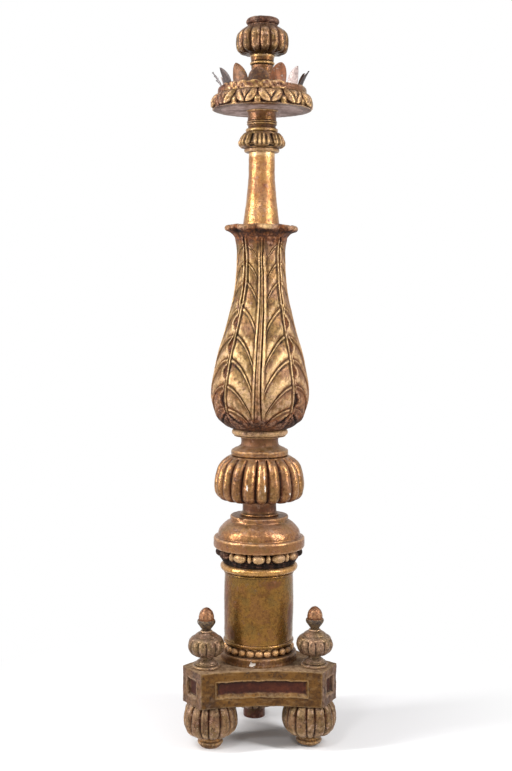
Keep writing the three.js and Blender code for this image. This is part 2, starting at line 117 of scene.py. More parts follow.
class Wire:
    # an output socket of a material's node; sums and products on it add Math nodes
    def __init__(self, socket):
        self.socket = socket

    def node(self, kind, settings=None, inputs=None, output=0):
        tree = self.socket.id_data
        made = tree.nodes.new(kind)
        for key, value in (settings or {}).items():
            setattr(made, key, value)
        for key, value in (inputs or {}).items():
            if isinstance(value, Wire):
                tree.links.new(value.socket, made.inputs[key])
            else:
                made.inputs[key].default_value = value
        return Wire(made.outputs[output])

    def maths(self, operation, first, second=0.0):
        return self.node("ShaderNodeMath", {"operation": operation}, {0: first, 1: second})

    def __add__(self, other):
        return self.maths("ADD", self, other)

    def __sub__(self, other):
        return self.maths("SUBTRACT", self, other)

    def __rsub__(self, other):
        return self.maths("SUBTRACT", other, self)

    def __mul__(self, other):
        return self.maths("MULTIPLY", self, other)

    __radd__ = __add__
    __rmul__ = __mul__

    def most(self, other):
        return self.maths("MAXIMUM", self, other)

    def least(self, other):
        return self.maths("MINIMUM", self, other)

    def step(self, low, high):
        settings = {"interpolation_type": "SMOOTHSTEP"}
        return self.node("ShaderNodeMapRange", settings, {0: self, 1: low, 2: high, 3: 0.0, 4: 1.0})

    def stretch(self, factors):
        return self.node("ShaderNodeVectorMath", {"operation": "MULTIPLY"}, {0: self, 1: factors})

    def noise(self, size, detail=4.0, roughness=0.6, twist=0.0):
        inputs = {"Vector": self, "Scale": 1000.0 / size, "Detail": detail, "Roughness": roughness}
        return self.node("ShaderNodeTexNoise", None, {**inputs, "Distortion": twist})

    def blend(self, first, second):
        # a colour: the first where this is 0, the second where this is 1; a text is a hex code
        first, second = [colour(given) if isinstance(given, str) else given for given in (first, second)]
        return self.node("ShaderNodeMix", {"data_type": "RGBA"}, {0: self, 6: first, 7: second}, 2)

    def coated(self, *layers):
        # this colour with other colours laid over it in turn, each where its mask is 1
        return reduce(lambda below, layer: layer[0].blend(below, layer[1]), layers, self)

    def attribute(self, name):
        return self.node("ShaderNodeAttribute", {"attribute_name": name}, None, 2)

    def upward(self):
        normal = self.node("ShaderNodeNewGeometry", None, None, 1)
        return normal.node("ShaderNodeSeparateXYZ", None, {0: normal}, 2)

    def bumped(self, distance):
        inputs = {"Strength": 1.0, "Distance": distance * mm, "Height": self}
        return self.node("ShaderNodeBump", None, inputs)


def colour(hexCode):
    parts = [int(hexCode[i:i + 2], 16) / 255 for i in (0, 2, 4)]
    return (*[p / 12.92 if p <= 0.04045 else ((p + 0.055) / 1.055) ** 2.4 for p in parts], 1.0)


def newMaterial(name):
    # returns the material, its shader node and the object coordinates, in metres
    material = bpy.data.materials.new(name)
    material.use_nodes = True
    shader = material.node_tree.nodes["Principled BSDF"]
    coordinates = material.node_tree.nodes.new("ShaderNodeTexCoord")
    return material, shader, Wire(coordinates.outputs["Object"])


def feed(shader, **wires):
    names = {"colour": "Base Color", "sheen": "Specular IOR Level"}
    for key, wire in wires.items():
        socket = shader.inputs[names.get(key, key.capitalize())]
        if isinstance(wire, Wire):
            shader.id_data.links.new(wire.socket, socket)
        else:
            socket.default_value = wire


def seenRays(tree):
    # 1 for the rays that show the studio itself: to the camera, in a reflection or through something
    path = tree.nodes.new("ShaderNodeLightPath")
    kinds = [Wire(path.outputs[f"Is {kind} Ray"]) for kind in ("Camera", "Glossy", "Transmission")]
    return reduce(Wire.most, kinds)


def makeWorld():
    world = bpy.data.worlds.new("studio")
    bpy.context.scene.world = world
    world.use_nodes = True
    background = world.node_tree.nodes["Background"]
    level = light["world"] + seenRays(world.node_tree) * (1.0 - light["world"])
    world.node_tree.links.new(level.socket, background.inputs["Strength"])
    background.inputs["Color"].default_value = (1.0, 1.0, 1.0, 1.0)


def makeFloor():
    bm = bmesh.new()
    bmesh.ops.create_grid(bm, x_segments=8, y_segments=8, size=light["floorSize"])
    mesh = bpy.data.meshes.new("studio_floor")
    bm.to_mesh(mesh)
    bm.free()
    floor = newObject("studio_floor", mesh)
    material, shader, point = newMaterial("studioFloor")
    feed(shader, colour=(*light["floorColour"], 1.0), roughness=0.9, sheen=0.0)
    tree = material.node_tree
    low, high = [reach * mm for reach in light["shadowReach"]]
    away = point.node("ShaderNodeVectorMath", {"operation": "LENGTH"}, {0: point}, 1)
    white = tree.nodes.new("ShaderNodeEmission")
    mixed = tree.nodes.new("ShaderNodeMixShader")
    links = tree.links
    links.new((seenRays(tree) * away.step(low, high)).socket, mixed.inputs[0])
    links.new(shader.outputs[0], mixed.inputs[1])
    links.new(white.outputs[0], mixed.inputs[2])
    links.new(mixed.outputs[0], tree.nodes["Material Output"].inputs["Surface"])
    mesh.materials.append(material)


# ---- finishes ----

def marks(point, grain=1.0, mottle=(5, 4.0, 0.7)):
    # the unevenness that all the old surfaces share, each about 0.5 on average, and the mesh's own attributes
    return {
        "broad": point.noise(170 * grain, 2.0, 0.5),
        "cloud": point.noise(48 * grain, 3.0, 0.55),
        "rub": point.noise(17 * grain, 6.0, 0.66, 0.3),
        "fine": point.noise(3.4, 3.0, 0.6),
        "mottle": point.noise(*mottle),
        **{name: point.attribute(name) for name in ("relief", "depth", "bare")},
    }


def weighed(m, **shares):
    return reduce(Wire.__add__, [m[key] * share for key, share in shares.items()])


def gilding(name, look):
    material, shader, point = newMaterial(name)
    m = marks(point, mottle=(7.5, 6.0, 0.72, 0.5))
    m["speck"] = point.noise(4.4, 4.0, 0.7)
    m["streak"] = point.stretch((1.0, 1.0, 0.12)).noise(5, 4.0, 0.65)
    m["lines"] = point.stretch((1.0, 1.0, 8.0)).noise(11, 3.0, 0.6)
    mottle = m["mottle"]

    bare = m["bare"].most(0.0).least(1.0)
    chip = (0 - m["bare"]).step(0.3, 0.6)
    # above 1 the "bare" attribute darkens the surface: soot, and the painted shade that the forms put in
    # grooves and undersides
    sootAndShade = (m["bare"] - 1.0).most(0.0)
    crest = m["relief"].step(0.2, 1.1)
    # hollows found in the mesh, darkened below partly as dirt and partly as painted shade
    groove = (0 - m["relief"]).step(0.1, 0.8).most((0 - m["depth"]).step(0.7, 4.0)) * (1 - bare * 0.7)

    tarnish = weighed(m, broad=0.3, cloud=0.3, mottle=0.4).step(0.44, 0.57)
    tarnish = tarnish * 0.6 + mottle.step(0.42, 0.58) * 0.4
    worn = weighed(m, cloud=0.35, rub=0.45, fine=0.2).step(look["wornFrom"], look["wornFrom"] + 0.06)
    worn = (worn * (1 - crest * 0.5) * 0.85 + bare).least(1.0)
    rubbed = (weighed(m, mottle=0.6, rub=0.4) + crest * 0.07).step(0.555, 0.61) * look["rubbed"]
    film = weighed(m, streak=0.6, cloud=0.4).step(0.5, 0.62) * look["film"]
    pits = m["fine"].step(0.58, 0.66) * mottle.step(0.46, 0.56) * look["pits"]
    pits = pits.most(m["speck"].step(0.56, 0.64) * look["pits"] * 0.6)
    # the dark mask: painted shade in grooves and hollows, with streaks of film, pits and soot
    dirtAndShade = (groove * look["grooveShadeAndDirt"] + film + pits + sootAndShade).least(1.0)
    dusty = point.upward().step(0.35, 0.95) * m["rub"].step(0.35, 0.62) * look["dust"]

    hue = point.stretch((0.8, 1.1, 0.9)).noise(34, 3.0, 0.6)
    hue = hue + point.node("ShaderNodeSeparateXYZ", None, {0: point}) * look["lean"]
    paint = tarnish.blend(look["gold"], look["shade"]).coated(
        (hue.step(0.5, 0.62) * 0.4, look["rose"]),
        (hue.step(0.5, 0.38) * 0.4, look["olive"]),
        # crests take a paler colour: a painted highlight
        (crest * (0.35 + mottle.step(0.4, 0.56) * 0.55), look["glint"]),
        (worn, mottle.step(0.42, 0.58).blend(look["bole"], look["wood"])),
        (rubbed, look["gesso"]),
        (dirtAndShade, look["dirtAndShade"]),
        (dusty, look["dustColour"]),
        (chip, look["chip"]),
    )
    leaf = (1 - worn * 0.7) * (1 - dirtAndShade * 0.9) * (1 - dusty) * (1 - rubbed * 0.6) * (1 - chip)
    height = weighed(m, fine=0.3, mottle=0.7, rub=0.8, lines=0.3, speck=0.4) - worn * 0.2 - pits * 0.5
    rough = weighed(m, cloud=0.2, mottle=0.25) + look["rough"] - 0.2 + worn * 0.12 + dirtAndShade * 0.35 + dusty * 0.4
    feed(shader, colour=paint, metallic=leaf * look["metal"], roughness=rough.least(0.95),
         normal=height.bumped(look["bump"]), sheen=look["sheen"])
    return material


# the darkest colour here serves both dirt and the painted shade in grooves and hollows, with a weight for how
# much the grooves take; glint is a paler colour painted on crests as a highlight
oldGold = {
    "gold": "9c7850", "shade": "62472a", "glint": "dcb582", "olive": "6c5830", "rose": "906a54",
    "bole": "43251a", "wood": "6f4126", "dirtAndShade": "170b06", "dustColour": "8f7a68", "gesso": "b08f7a",
    "chip": "ddd3c8",
    "wornFrom": 0.555, "grooveShadeAndDirt": 0.95, "film": 0.3, "dust": 0.35, "rubbed": 0.45, "pits": 0.65,
    "rough": 0.31, "metal": 0.55, "bump": 1.1, "sheen": 0.2,
    "lean": 0.0,  # how much pinker the gilding gets towards +X, for each metre
}

# the tone of the gilding on each piece where it differs from the rest, from the floor up
tones = {
    "pad": {"gold": "9a6b3a", "shade": "604022", "rubbed": 0.5, "pits": 0.9},
    # the back pad is much darker than the others: partly its own worn brown wood, partly painted shade for
    # the shadow under the base
    "backPad": {"gold": "4e2a1c", "shade": "38180f", "glint": "6a3d28", "metal": 0.1, "rubbed": 0.2},
    "foot": {"gold": "7a5a3a", "shade": "48301d", "glint": "b0926c", "rose": "84614a",
             "rubbed": 0.6, "pits": 0.95, "rough": 0.4, "metal": 0.35},
    "finial": {"gold": "7d634c", "shade": "48321f", "glint": "cfa880", "rubbed": 0.85, "pits": 1.0},
    "disc": {"gold": "74502e", "shade": "4f3018", "glint": "a5784a"},
    "beads": {"gold": "93683f", "shade": "65401f", "glint": "d8a870", "rough": 0.32, "metal": 0.65},
    "drum": {"gold": "8a632f", "shade": "66451f", "glint": "b98a4f", "rose": "7d5234", "wornFrom": 0.575,
             "rubbed": 0.15, "film": 0.08, "pits": 0.6, "rough": 0.23, "metal": 0.75, "bump": 0.35},
    "buds": {"gold": "9a744a", "shade": "5e3f24", "grooveShadeAndDirt": 1.0},
    "dome": {"gold": "9c6f47", "shade": "74472a", "glint": "dba873", "film": 0.15, "rough": 0.26,
             "metal": 0.78, "bump": 0.4},
    "knop": {"gold": "9c6f45", "shade": "5f3b22", "glint": "e0ac74", "rough": 0.27, "metal": 0.78,
             "bump": 0.45},
    "collar": {"gold": "8f663d", "shade": "5c3a25", "glint": "d8a874"},
    "leaf": {"gold": "8c683f", "shade": "5b3f25", "glint": "f0ca90", "rose": "946e58", "wood": "86502a",
             "film": 0.25, "grooveShadeAndDirt": 0.7, "lean": 1.1, "rough": 0.38, "metal": 0.5, "bump": 0.9},
    "shaft": {"gold": "ad8050", "shade": "875630", "glint": "e0b67c", "olive": "a07c48", "wood": "8a4527",
              "wornFrom": 0.58, "film": 0.12, "rough": 0.26, "metal": 0.75, "bump": 0.7},
    "smallLeaf": {"gold": "8a6844", "shade": "56391f", "glint": "d8b27e"},
    "stem": {"gold": "744e2c", "shade": "55331b", "glint": "b9935a", "film": 0.1, "rough": 0.26, "metal": 0.7,
             "bump": 0.8},
    "pan": {"gold": "7f5e3a", "shade": "4c331f", "glint": "d2aa78", "rubbed": 0.5, "rough": 0.26,
            "metal": 0.65},
    "ring": {"gold": "85613a", "shade": "4f321e", "glint": "c9a068", "rubbed": 0.6, "pits": 1.0},
    "nozzle": {"gold": "5d4027", "shade": "3a2416", "glint": "cfa271", "rubbed": 0.5, "pits": 0.9,
               "rough": 0.24, "metal": 0.68, "bump": 0.8},
}


# ---- shaping ----

def ramp(low, high, value):
    t = np.clip((value - low) / (high - low), 0.0, 1.0)
    return t * t * (3 - 2 * t)


def hump(value, centre, width):
    return np.exp(-((value - centre) / width) ** 2)


def crownOf(across, roundness, power=2.0):
    # the height across a lobe, 1 on its crest and 0 in the grooves at -1 and 1
    return np.clip(1 - np.abs(across) ** power, 0, 1) ** roundness


def nearest(degrees, pitch):
    # how far it is from the nearest of marks that stand a pitch apart, the first at 0
    return (degrees + pitch / 2) % pitch - pitch / 2


def wobble(azimuth, height, seed, reach=45.0):
    # slow unevenness of hand work, about -1 to 1
    draw = random.Random(seed)
    total = 0.0
    for waves in (1, 2, 3, 5):
        rise = draw.uniform(-1.0, 1.0) / reach
        total = total + np.sin(waves * azimuth + tau * height * rise + draw.uniform(0, tau)) / sqrt(waves)
    return total / 2.2


def curve(points, steps=6):
    # a smooth outline through the points
    p = [np.array(point, float) for point in points]
    p = [2 * p[0] - p[1], *p, 2 * p[-1] - p[-2]]
    outline = []
    for a, b, c, d in zip(p, p[1:], p[2:], p[3:]):
        for i in range(steps):
            t = i / steps
            outline.append(tuple(0.5 * (2 * b + (c - a) * t + (2 * a - 5 * b + 4 * c - d) * t ** 2
                                        + (3 * b - a - 3 * c + d) * t ** 3)))
    return [*outline, tuple(p[-2])]


def halfRound(reach, low, high, steps=8):
    r = (high - low) / 2
    turns = [-pi / 2 + pi * i / steps for i in range(steps + 1)]
    return [(reach - r + r * cos(turn), (low + high) / 2 + r * sin(turn)) for turn in turns]


def eased(outline, cut=0.8):
    # rounds the corners of an outline, as handling does
    made = [outline[0]]
    for before, here, after in zip(outline, outline[1:], outline[2:]):
        a, b, c = [np.array(point, float) for point in (before, here, after)]
        inward, outward = a - b, c - b
        lengths = np.linalg.norm(inward), np.linalg.norm(outward)
        straight = -float(inward @ outward) / (lengths[0] * lengths[1])
        if straight > 0.94:  # it bends by less than 20 degrees
            made.append(here)
            continue
        first, last = [b + v * min(cut, 0.4 * size) / size for v, size in zip((inward, outward), lengths)]
        made += [tuple(first), tuple((first + 2 * b + last) / 4), tuple(last)]
    return [*made, outline[-1]]


def dense(outline, pitch):
    made = [outline[0]]
    for before, here in zip(outline, outline[1:]):
        a, b = np.array(before, float), np.array(here, float)
        steps = max(1, round(float(np.linalg.norm(b - a)) / pitch))
        made += [tuple(a + (b - a) * i / steps) for i in range(1, steps + 1)]
    return made


def closedOn(outline):
    # closes an outline on its own axis at both ends
    return [(0.0, outline[0][1]), *outline, (0.0, outline[-1][1])]


def turned(outline, sides):
    # sides is a multiple of the wedges
    bm = bmesh.new()
    corners = [bm.verts.new((0, -r, z)) for r, z in outline]
    edges = [bm.edges.new(pair) for pair in zip(corners, corners[1:])]
    wedges = 16  # one long spin is slow, so a wedge is spun and then copied round
    bmesh.ops.spin(bm, geom=corners + edges, cent=(0, 0, 0), axis=(0, 0, 1), angle=tau / wedges,
                   steps=round(sides / wedges))
    bmesh.ops.spin(bm, geom=[*bm.verts, *bm.edges, *bm.faces], cent=(0, 0, 0), axis=(0, 0, 1),
                   angle=tau * (wedges - 1) / wedges, steps=wedges - 1, use_duplicate=True)
    bmesh.ops.remove_doubles(bm, verts=bm.verts, dist=0.001)
    bmesh.ops.recalc_face_normals(bm, faces=bm.faces)
    return bm


def join(bm, part):
    # adds one bmesh to another and frees it
    scrap = bpy.data.meshes.new("scrap")
    part.to_mesh(scrap)
    part.free()
    bm.from_mesh(scrap)
    bpy.data.meshes.remove(scrap)


def carve(bm, form):
    # form takes azimuth, radius and height of all the points at once and returns them moved. It may return a
    # fourth value, kept as the attribute "bare": 0 gilded, 1 bare wood, above 1 soot and painted shade, below
    # 0 white gesso
    places = np.array([v.co for v in bm.verts])
    azimuth = np.arctan2(places[:, 0], -places[:, 1])
    radius = np.hypot(places[:, 0], places[:, 1])
    azimuth, radius, height, *bare = form(azimuth, radius, places[:, 2])
    moved = np.column_stack([radius * np.sin(azimuth), -radius * np.cos(azimuth), height])
    layer = bm.verts.layers.float.new("bare")
    for vert, place, share in zip(bm.verts, moved, bare[0] if bare else np.zeros(len(moved))):
        vert.co = place
        vert[layer] = share
    return bm


def softened(mesh, places, passes):
    ends = np.empty(len(mesh.edges) * 2, np.int32)
    mesh.edges.foreach_get("vertices", ends)
    a, b = ends[::2], ends[1::2]
    count = len(places)
    degree = np.maximum(1, np.bincount(a, minlength=count) + np.bincount(b, minlength=count))
    for _ in range(passes):
        sums = [np.bincount(a, places[b, k], count) + np.bincount(b, places[a, k], count) for k in range(3)]
        places = np.column_stack(sums) / degree[:, None]
    return places


def markRelief(mesh):
    # relief: mm above the surface round about, for fine edges; depth: the same for wide hollows
    count = len(mesh.vertices)
    places, normals = np.empty(count * 3), np.empty(count * 3)
    mesh.vertices.foreach_get("co", places)
    mesh.vertices.foreach_get("normal", normals)
    places, normals = places.reshape(-1, 3) / mm, normals.reshape(-1, 3)
    for name, passes in reliefPasses.items():
        above = ((places - softened(mesh, places, passes)) * normals).sum(1)
        mesh.attributes.new(name, "FLOAT", "POINT").data.foreach_set("value", above)


crustWaves = ((0.11, 0.7), (0.27, 0.45))  # the fineness, for each mm, and the share of each layer of bumps
reliefPasses = {"relief": 8, "depth": 60}


def roughened(bm, depth):
    # small bumps and hollows of old gesso, along the normals
    bm.normal_update()
    for vert in bm.verts:
        swell = sum(noise.noise(vert.co * rate) * share for rate, share in crustWaves)
        place = vert.co + vert.normal * (swell * depth)
        vert.co = (place.x, place.y, max(place.z, 0.0))  # the feet stand on the floor


def lathe(outline, sides, pitch=2.0, ease=0.0, form=None):
    # turns an outline of a piece that is solid to its axis; ease is the cut of its corners in mm
    outline = closedOn(eased(outline, ease) if ease else outline)
    bm = turned(dense(outline, pitch), sides)
    return carve(bm, form) if form else bm


def swayed(amount, seed, reach=45.0):
    # a form for plain turning, a little out of true
    def form(azimuth, radius, height):
        return azimuth, radius + amount * wobble(azimuth, height, seed, reach), height

    return form


def finishPiece(bm, name, finish, node, at=(0.0, 0.0), turn=0.0, sharp=50, crust=0.6):
    # at is the place of the piece's own axis in mm from the column axis, crust the roughness of its gesso
    roughened(bm, crust)
    bmesh.ops.rotate(bm, verts=bm.verts, cent=(0, 0, 0), matrix=Matrix.Rotation(radians(turn), 3, "Z"))
    bmesh.ops.translate(bm, verts=bm.verts, vec=(axis.x + at[0], axis.y + at[1], 0))
    bmesh.ops.scale(bm, verts=bm.verts, vec=(mm, mm, mm))
    mesh = bpy.data.meshes.new(name)
    bm.to_mesh(mesh)
    bm.free()
    mesh.shade_smooth()
    mesh.set_sharp_from_angle(angle=radians(sharp))
    mesh.materials.append(finishes[finish])
    markRelief(mesh)
    piece = newObject(name, mesh)
    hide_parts(node)
    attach(piece, "root")
    return piece


def offset(azimuth, distance):
    return (distance * sin(radians(azimuth)), -distance * cos(radians(azimuth)))


def lobeAt(azimuth, grooves):
    # grooves are degrees, rising through one turn; returns -1 to 1 across each lobe, and its width in degrees
    edges = np.array([*grooves, grooves[0] + 360.0])
    degrees = (np.degrees(azimuth) - edges[0]) % 360.0 + edges[0]
    right = np.clip(np.searchsorted(edges, degrees, "right"), 1, len(edges) - 1)
    width = edges[right] - edges[right - 1]
    return 2 * (degrees - edges[right - 1]) / width - 1, width


def spot(azimuth, height, atAzimuth, atHeight, wide, tall):
    # 1 inside a ragged patch, wide in degrees and tall in mm, half each way
    degrees = np.degrees(azimuth) - atAzimuth + 0.25 * wide * np.sin(height * 0.9)
    away = np.hypot(degrees / wide, (height - atHeight + 0.2 * tall * np.sin(degrees * 1.7)) / tall)
    return ramp(1.1, 0.85, away)


def evenGrooves(count, first, seed, spread=0.0):
    draw = random.Random(seed)
    pitch = 360.0 / count
    return [first + pitch * (i + draw.uniform(-spread, spread)) for i in range(count)]


corners = {"left": -60, "right": 60, "back": 180}


# ---- base ----

plinth = {
    "reach": 187.0,  # from the column axis to each canted corner face
    "cornerWidth": 84.0,
    "sagitta": 20.0,
    "low": 107.0,
    "high": 191.0,
    "sidePanel": (107.0, 19.0),  # half length and half height
    "sideDepth": 7.5,
    "cornerPanel": 20.5,
    "cornerDepth": 7.0,
    "pitch": 1.6,
    "edgeRows": (0.7, 1.5, 2.4),  # rows of points close to the top and bottom edges
    "capInsets": (1.2, 5.0),
}
sides = (0, 120, 240)  # azimuths of the hollow sides
noPanel = -9.0  # the depth in a panel of the points that aren't on a wall


def sideArc(azimuth):
    # centre, radius and half angle of the hollow side that faces this azimuth
    half = plinth["cornerWidth"] / 2
    chord = plinth["reach"] * sin(pi / 3) - half / 2
    away = plinth["reach"] / 2 + half * sin(pi / 3)
    radius = (chord ** 2 + plinth["sagitta"] ** 2) / (2 * plinth["sagitta"])
    centre = away - plinth["sagitta"] + radius
    turn = radians(azimuth)
    return np.array([centre * sin(turn), -centre * cos(turn)]), radius, np.arcsin(chord / radius)


def plinthPlan():
    plan = []
    for azimuth in sides:
        centre, radius, half = sideArc(azimuth)
        steps = round(2 * half * radius / plinth["pitch"])
        facing = radians(azimuth) + pi / 2
        for i in range(steps):
            turn = facing + half - 2 * half * i / steps
            plan.append((centre[0] + radius * cos(turn), centre[1] + radius * sin(turn)))
        outward = radians(azimuth + 60)
        across = np.array([cos(outward), sin(outward)])
        out = np.array([sin(outward), -cos(outward)]) * plinth["reach"]
        steps = round(plinth["cornerWidth"] / plinth["pitch"])
        for i in range(steps):
            place = out + across * plinth["cornerWidth"] * (i / steps - 0.5)
            plan.append(tuple(place))
    return plan


def axes(azimuth):
    # the way out of the plinth at this azimuth and the way across it
    turn = radians(azimuth)
    return np.array([sin(turn), -cos(turn)]), np.array([cos(turn), sin(turn)])


def edgeWear(x, y, z):
    return 0.6 * wobble(np.arctan2(x, -y) * 7, z, 3, 90)


def cantedFace(x, y, z, azimuth):
    # which points are on this canted corner, the way each moves, how far, and how deep in the panel it is
    out, across = axes(azimuth)
    along, side = x * out[0] + y * out[1], x * across[0] + y * across[1]
    toEdge = plinth["cornerWidth"] / 2 - np.abs(side)
    here = (along > plinth["reach"] - 0.4) & (toEdge > -0.1)
    ragged = 1.3 * wobble(side / 9, z, 7 + azimuth, 22)
    middle = (plinth["low"] + plinth["high"]) / 2
    deep = plinth["cornerPanel"] + ragged - np.maximum(np.abs(side - 1), np.abs(z - middle))
    cut = -plinth["cornerDepth"] * ramp(-0.5, 2.2, deep) + 0.7 * wobble(side / 14, z, 31, 40)
    cut = cut - (1.3 + edgeWear(x, y, z)) * np.exp(-np.maximum(toEdge, 0) / 1.6)
    return here, out[None, :], cut, deep + 3


def hollowFace(x, y, z, azimuth):
    # the same for one of the hollow sides
    centre, radius, half = sideArc(azimuth)
    toCentre = centre[None, :] - np.column_stack([x, y])
    gap = np.hypot(toCentre[:, 0], toCentre[:, 1])
    across = axes(azimuth)[1]
    side = radius * np.arcsin(np.clip((x * across[0] + y * across[1]) / radius, -1, 1))
    toEdge = half * radius - np.abs(side)
    here = (np.abs(gap - radius) < 0.4) & (toEdge > -0.1)
    long, tall = plinth["sidePanel"]
    ragged = 1.1 * wobble(side / 12, z * 0.2, 17 + azimuth, 60)
    up, ends = z - (plinth["low"] + plinth["high"]) / 2, long + 2.5 * ragged - np.abs(side)
    sunk = np.minimum(ramp(0.5, 4.0, tall + ragged - up), ramp(0.5, 12.0, tall + ragged + up))
    sunk = np.minimum(sunk, ramp(0.5, 9.0, ends))
    rim = np.minimum(ends, tall + ragged - np.abs(up))
    cut = -plinth["sideDepth"] * sunk + 1.3 * hump(rim, -0.6, 1.3) - 0.5 * hump(rim, -3.4, 1.3)
    cut = cut + 0.5 * wobble(side / 30, z, 41 + azimuth, 70)
    cut = cut - (1.2 + edgeWear(x, y, z)) * np.exp(-np.maximum(toEdge, 0) / 1.6)
    return here, toCentre / gap[:, None], cut, 20 * sunk - 5


def plinthForm(places):
    # sinks the panels and wears the edges; returns the moved points, how deep in a panel each is and which
    # are on the canted corners
    x, y, z = places.T
    moved, inside, cant = places.copy(), np.full(len(x), noPanel), np.zeros(len(x))
    faces = [(cantedFace, azimuth) for azimuth in corners.values()]
    faces += [(hollowFace, azimuth) for azimuth in sides]
    for face, azimuth in faces:
        here, way, cut, deep = face(x, y, z, azimuth)
        moved[:, :2] = np.where(here[:, None], moved[:, :2] + way * cut[:, None], moved[:, :2])
        inside = np.where(here, deep, inside)
        if face is cantedFace:
            cant = np.where(here, 1.0, cant)
    rim = np.minimum(z - plinth["low"], plinth["high"] - z)
    inward = (1.7 + edgeWear(x, y, z)) * np.clip(1 - rim / 2.2, 0, 1) ** 2 * (inside > noPanel + 0.1)
    moved[:, :2] *= (1 - inward / np.hypot(x, y))[:, None]
    return moved, inside, cant


def plinthMaterial():
    material, shader, point = newMaterial("plinthGilding")
    m = marks(point, mottle=(8, 5.0, 0.7, 0.4))
    inside, cant = point.attribute("inside"), point.attribute("cant")
    mottle = m["mottle"]
    groove, crest = (0 - m["relief"]).step(0.25, 1.0), m["relief"].step(0.15, 0.8)
    field = (inside + m["rub"] * 7 + m["fine"] * 2).step(12.0, 14.5)
    edgeRub = (weighed(m, rub=0.6, cloud=0.4) + crest * (0.07 + cant * 0.06)).step(0.57, 0.66)
    grain = point.stretch((0.3, 0.3, 1.0)).noise(12, 4.0, 0.65)
    mauve = weighed(m, mottle=0.6, rub=0.4).step(0.42, 0.58).blend("6c5142", "3f2b1d")
    wood = weighed(m, rub=0.5, broad=0.5).step(0.42, 0.6).blend("3c180d", "582a17")
    # the dark mask: painted shade along the hollows, with patches of dirt
    dirtAndShade = groove * 0.6 + (m["rub"] * m["cloud"]).step(0.27, 0.36) * 0.4
    dirtAndShade = (dirtAndShade + mottle.step(0.56, 0.66) * 0.5 * (1 - field)).least(1.0)
    dust = (point.upward().step(0.5, 0.95) * (0.35 + m["fine"] * 0.9)).least(0.92)
    gold = weighed(m, broad=0.3, cloud=0.35, mottle=0.35).step(0.42, 0.58).blend("6c4a22", "4a3018")
    paint = gold.coated(
        (grain.step(0.5, 0.62) * 0.5, "7d5f3c"),
        (cant * (0.45 + m["cloud"].step(0.4, 0.55) * 0.45), mauve),
        (edgeRub * 0.75, (cant * 0.7).blend("7b604a", "8a7064")),
        # arrises take a paler colour: a painted highlight
        (crest * 0.35 * (1 - cant * 0.5), "9a805a"),
        (field, wood.coated((cant * 0.6, "230e08"))),
        (dirtAndShade, "231309"),
        (dust, weighed(m, rub=0.5, mottle=0.5).step(0.38, 0.6).blend("9a8266", "6b523c")),
    )
    lines = point.stretch((1.0, 1.0, 6.0)).noise(14, 3.0)
    height = weighed(m, fine=0.4, rub=0.9, mottle=0.7) + lines * 0.4
    leaf = (1 - field) * (1 - edgeRub * 0.7) * (1 - dust) * (1 - dirtAndShade) * (1 - cant * 0.6)
    rough = (0.42 + m["cloud"] * 0.16 + field * 0.12 + dust * 0.35 + edgeRub * 0.1).least(0.95)
    feed(shader, colour=paint, metallic=leaf * 0.55, roughness=rough, normal=height.bumped(0.9),
         sheen=oldGold["sheen"])
    return material


def makePlinth():
    bm = bmesh.new()
    loop = [bm.verts.new((x, y, plinth["low"])) for x, y in plinthPlan()]
    edges = [bm.edges.new(pair) for pair in zip(loop, loop[1:] + loop[:1])]
    tall, near = plinth["high"] - plinth["low"], plinth["edgeRows"]
    heights = [*near, *np.arange(4.0, tall - 3.0, plinth["pitch"]), *[tall - up for up in near[::-1]], tall]
    rows = edges
    for below, height in zip([0.0, *heights], heights):
        grown = bmesh.ops.extrude_edge_only(bm, edges=rows)["geom"]
        verts = [part for part in grown if isinstance(part, bmesh.types.BMVert)]
        rows = [part for part in grown if isinstance(part, bmesh.types.BMEdge)]
        bmesh.ops.translate(bm, verts=verts, vec=(0, 0, height - below))
    places, inside, cant = plinthForm(np.array([v.co for v in bm.verts]))
    for vert, place in zip(bm.verts, places):
        vert.co = place
    for ring in (rows, edges):
        cap = bmesh.ops.contextual_create(bm, geom=ring)["faces"]
        for width in plinth["capInsets"]:
            bmesh.ops.inset_region(bm, faces=cap, thickness=width, use_even_offset=False)
    bmesh.ops.recalc_face_normals(bm, faces=bm.faces)
    capPoints = len(bm.verts) - len(inside)
    piece = finishPiece(bm, "plinthBlock", "plinth", "base_plinth", sharp=60, crust=0.9)
    for name, values, onCap in (("inside", inside, noPanel), ("cant", cant, 0.0)):
        values = np.append(values, [onCap] * capPoints)
        piece.data.attributes.new(name, "FLOAT", "POINT").data.foreach_set("value", values)


# ---- feet ----

foot = {
    "circle": 135.0,
    "outline": [(27, 27.3), (38, 28), (50, 33), (59.5, 42), (64, 56), (64.4, 70), (62.5, 84), (60, 94),
                (55, 103), (50, 106.7)],
    "lobeWidths": (27.0, 26.5, 18.5),  # degrees, repeated five times round the bun
    "grooveDepth": 11.0,
    "pad": [(21.5, 0.0), (24, 2.5), (27.5, 6.5), (30, 11), (29.5, 14.5), (27, 17), (27.5, 20.5),
            (26, 24.5), (24.5, 27.0)],
    "backPad": [(26.5, 0.0), (27, 1.5), (27, 14), (26.5, 22), (25, 27.0)],
    "glide": [(12.5, 0.0), (14, 1.2), (14, 4.0), (13, 4.7)],
    "glideHeight": 5.0,
    "firstGroove": {"left": 66.0, "right": -65.5, "back": 10.0},
}


def footGrooves(side):
    edges, at = [], foot["firstGroove"][side]
    for i in range(15):
        edges.append(at)
        at += foot["lobeWidths"][i % 3]
    return edges


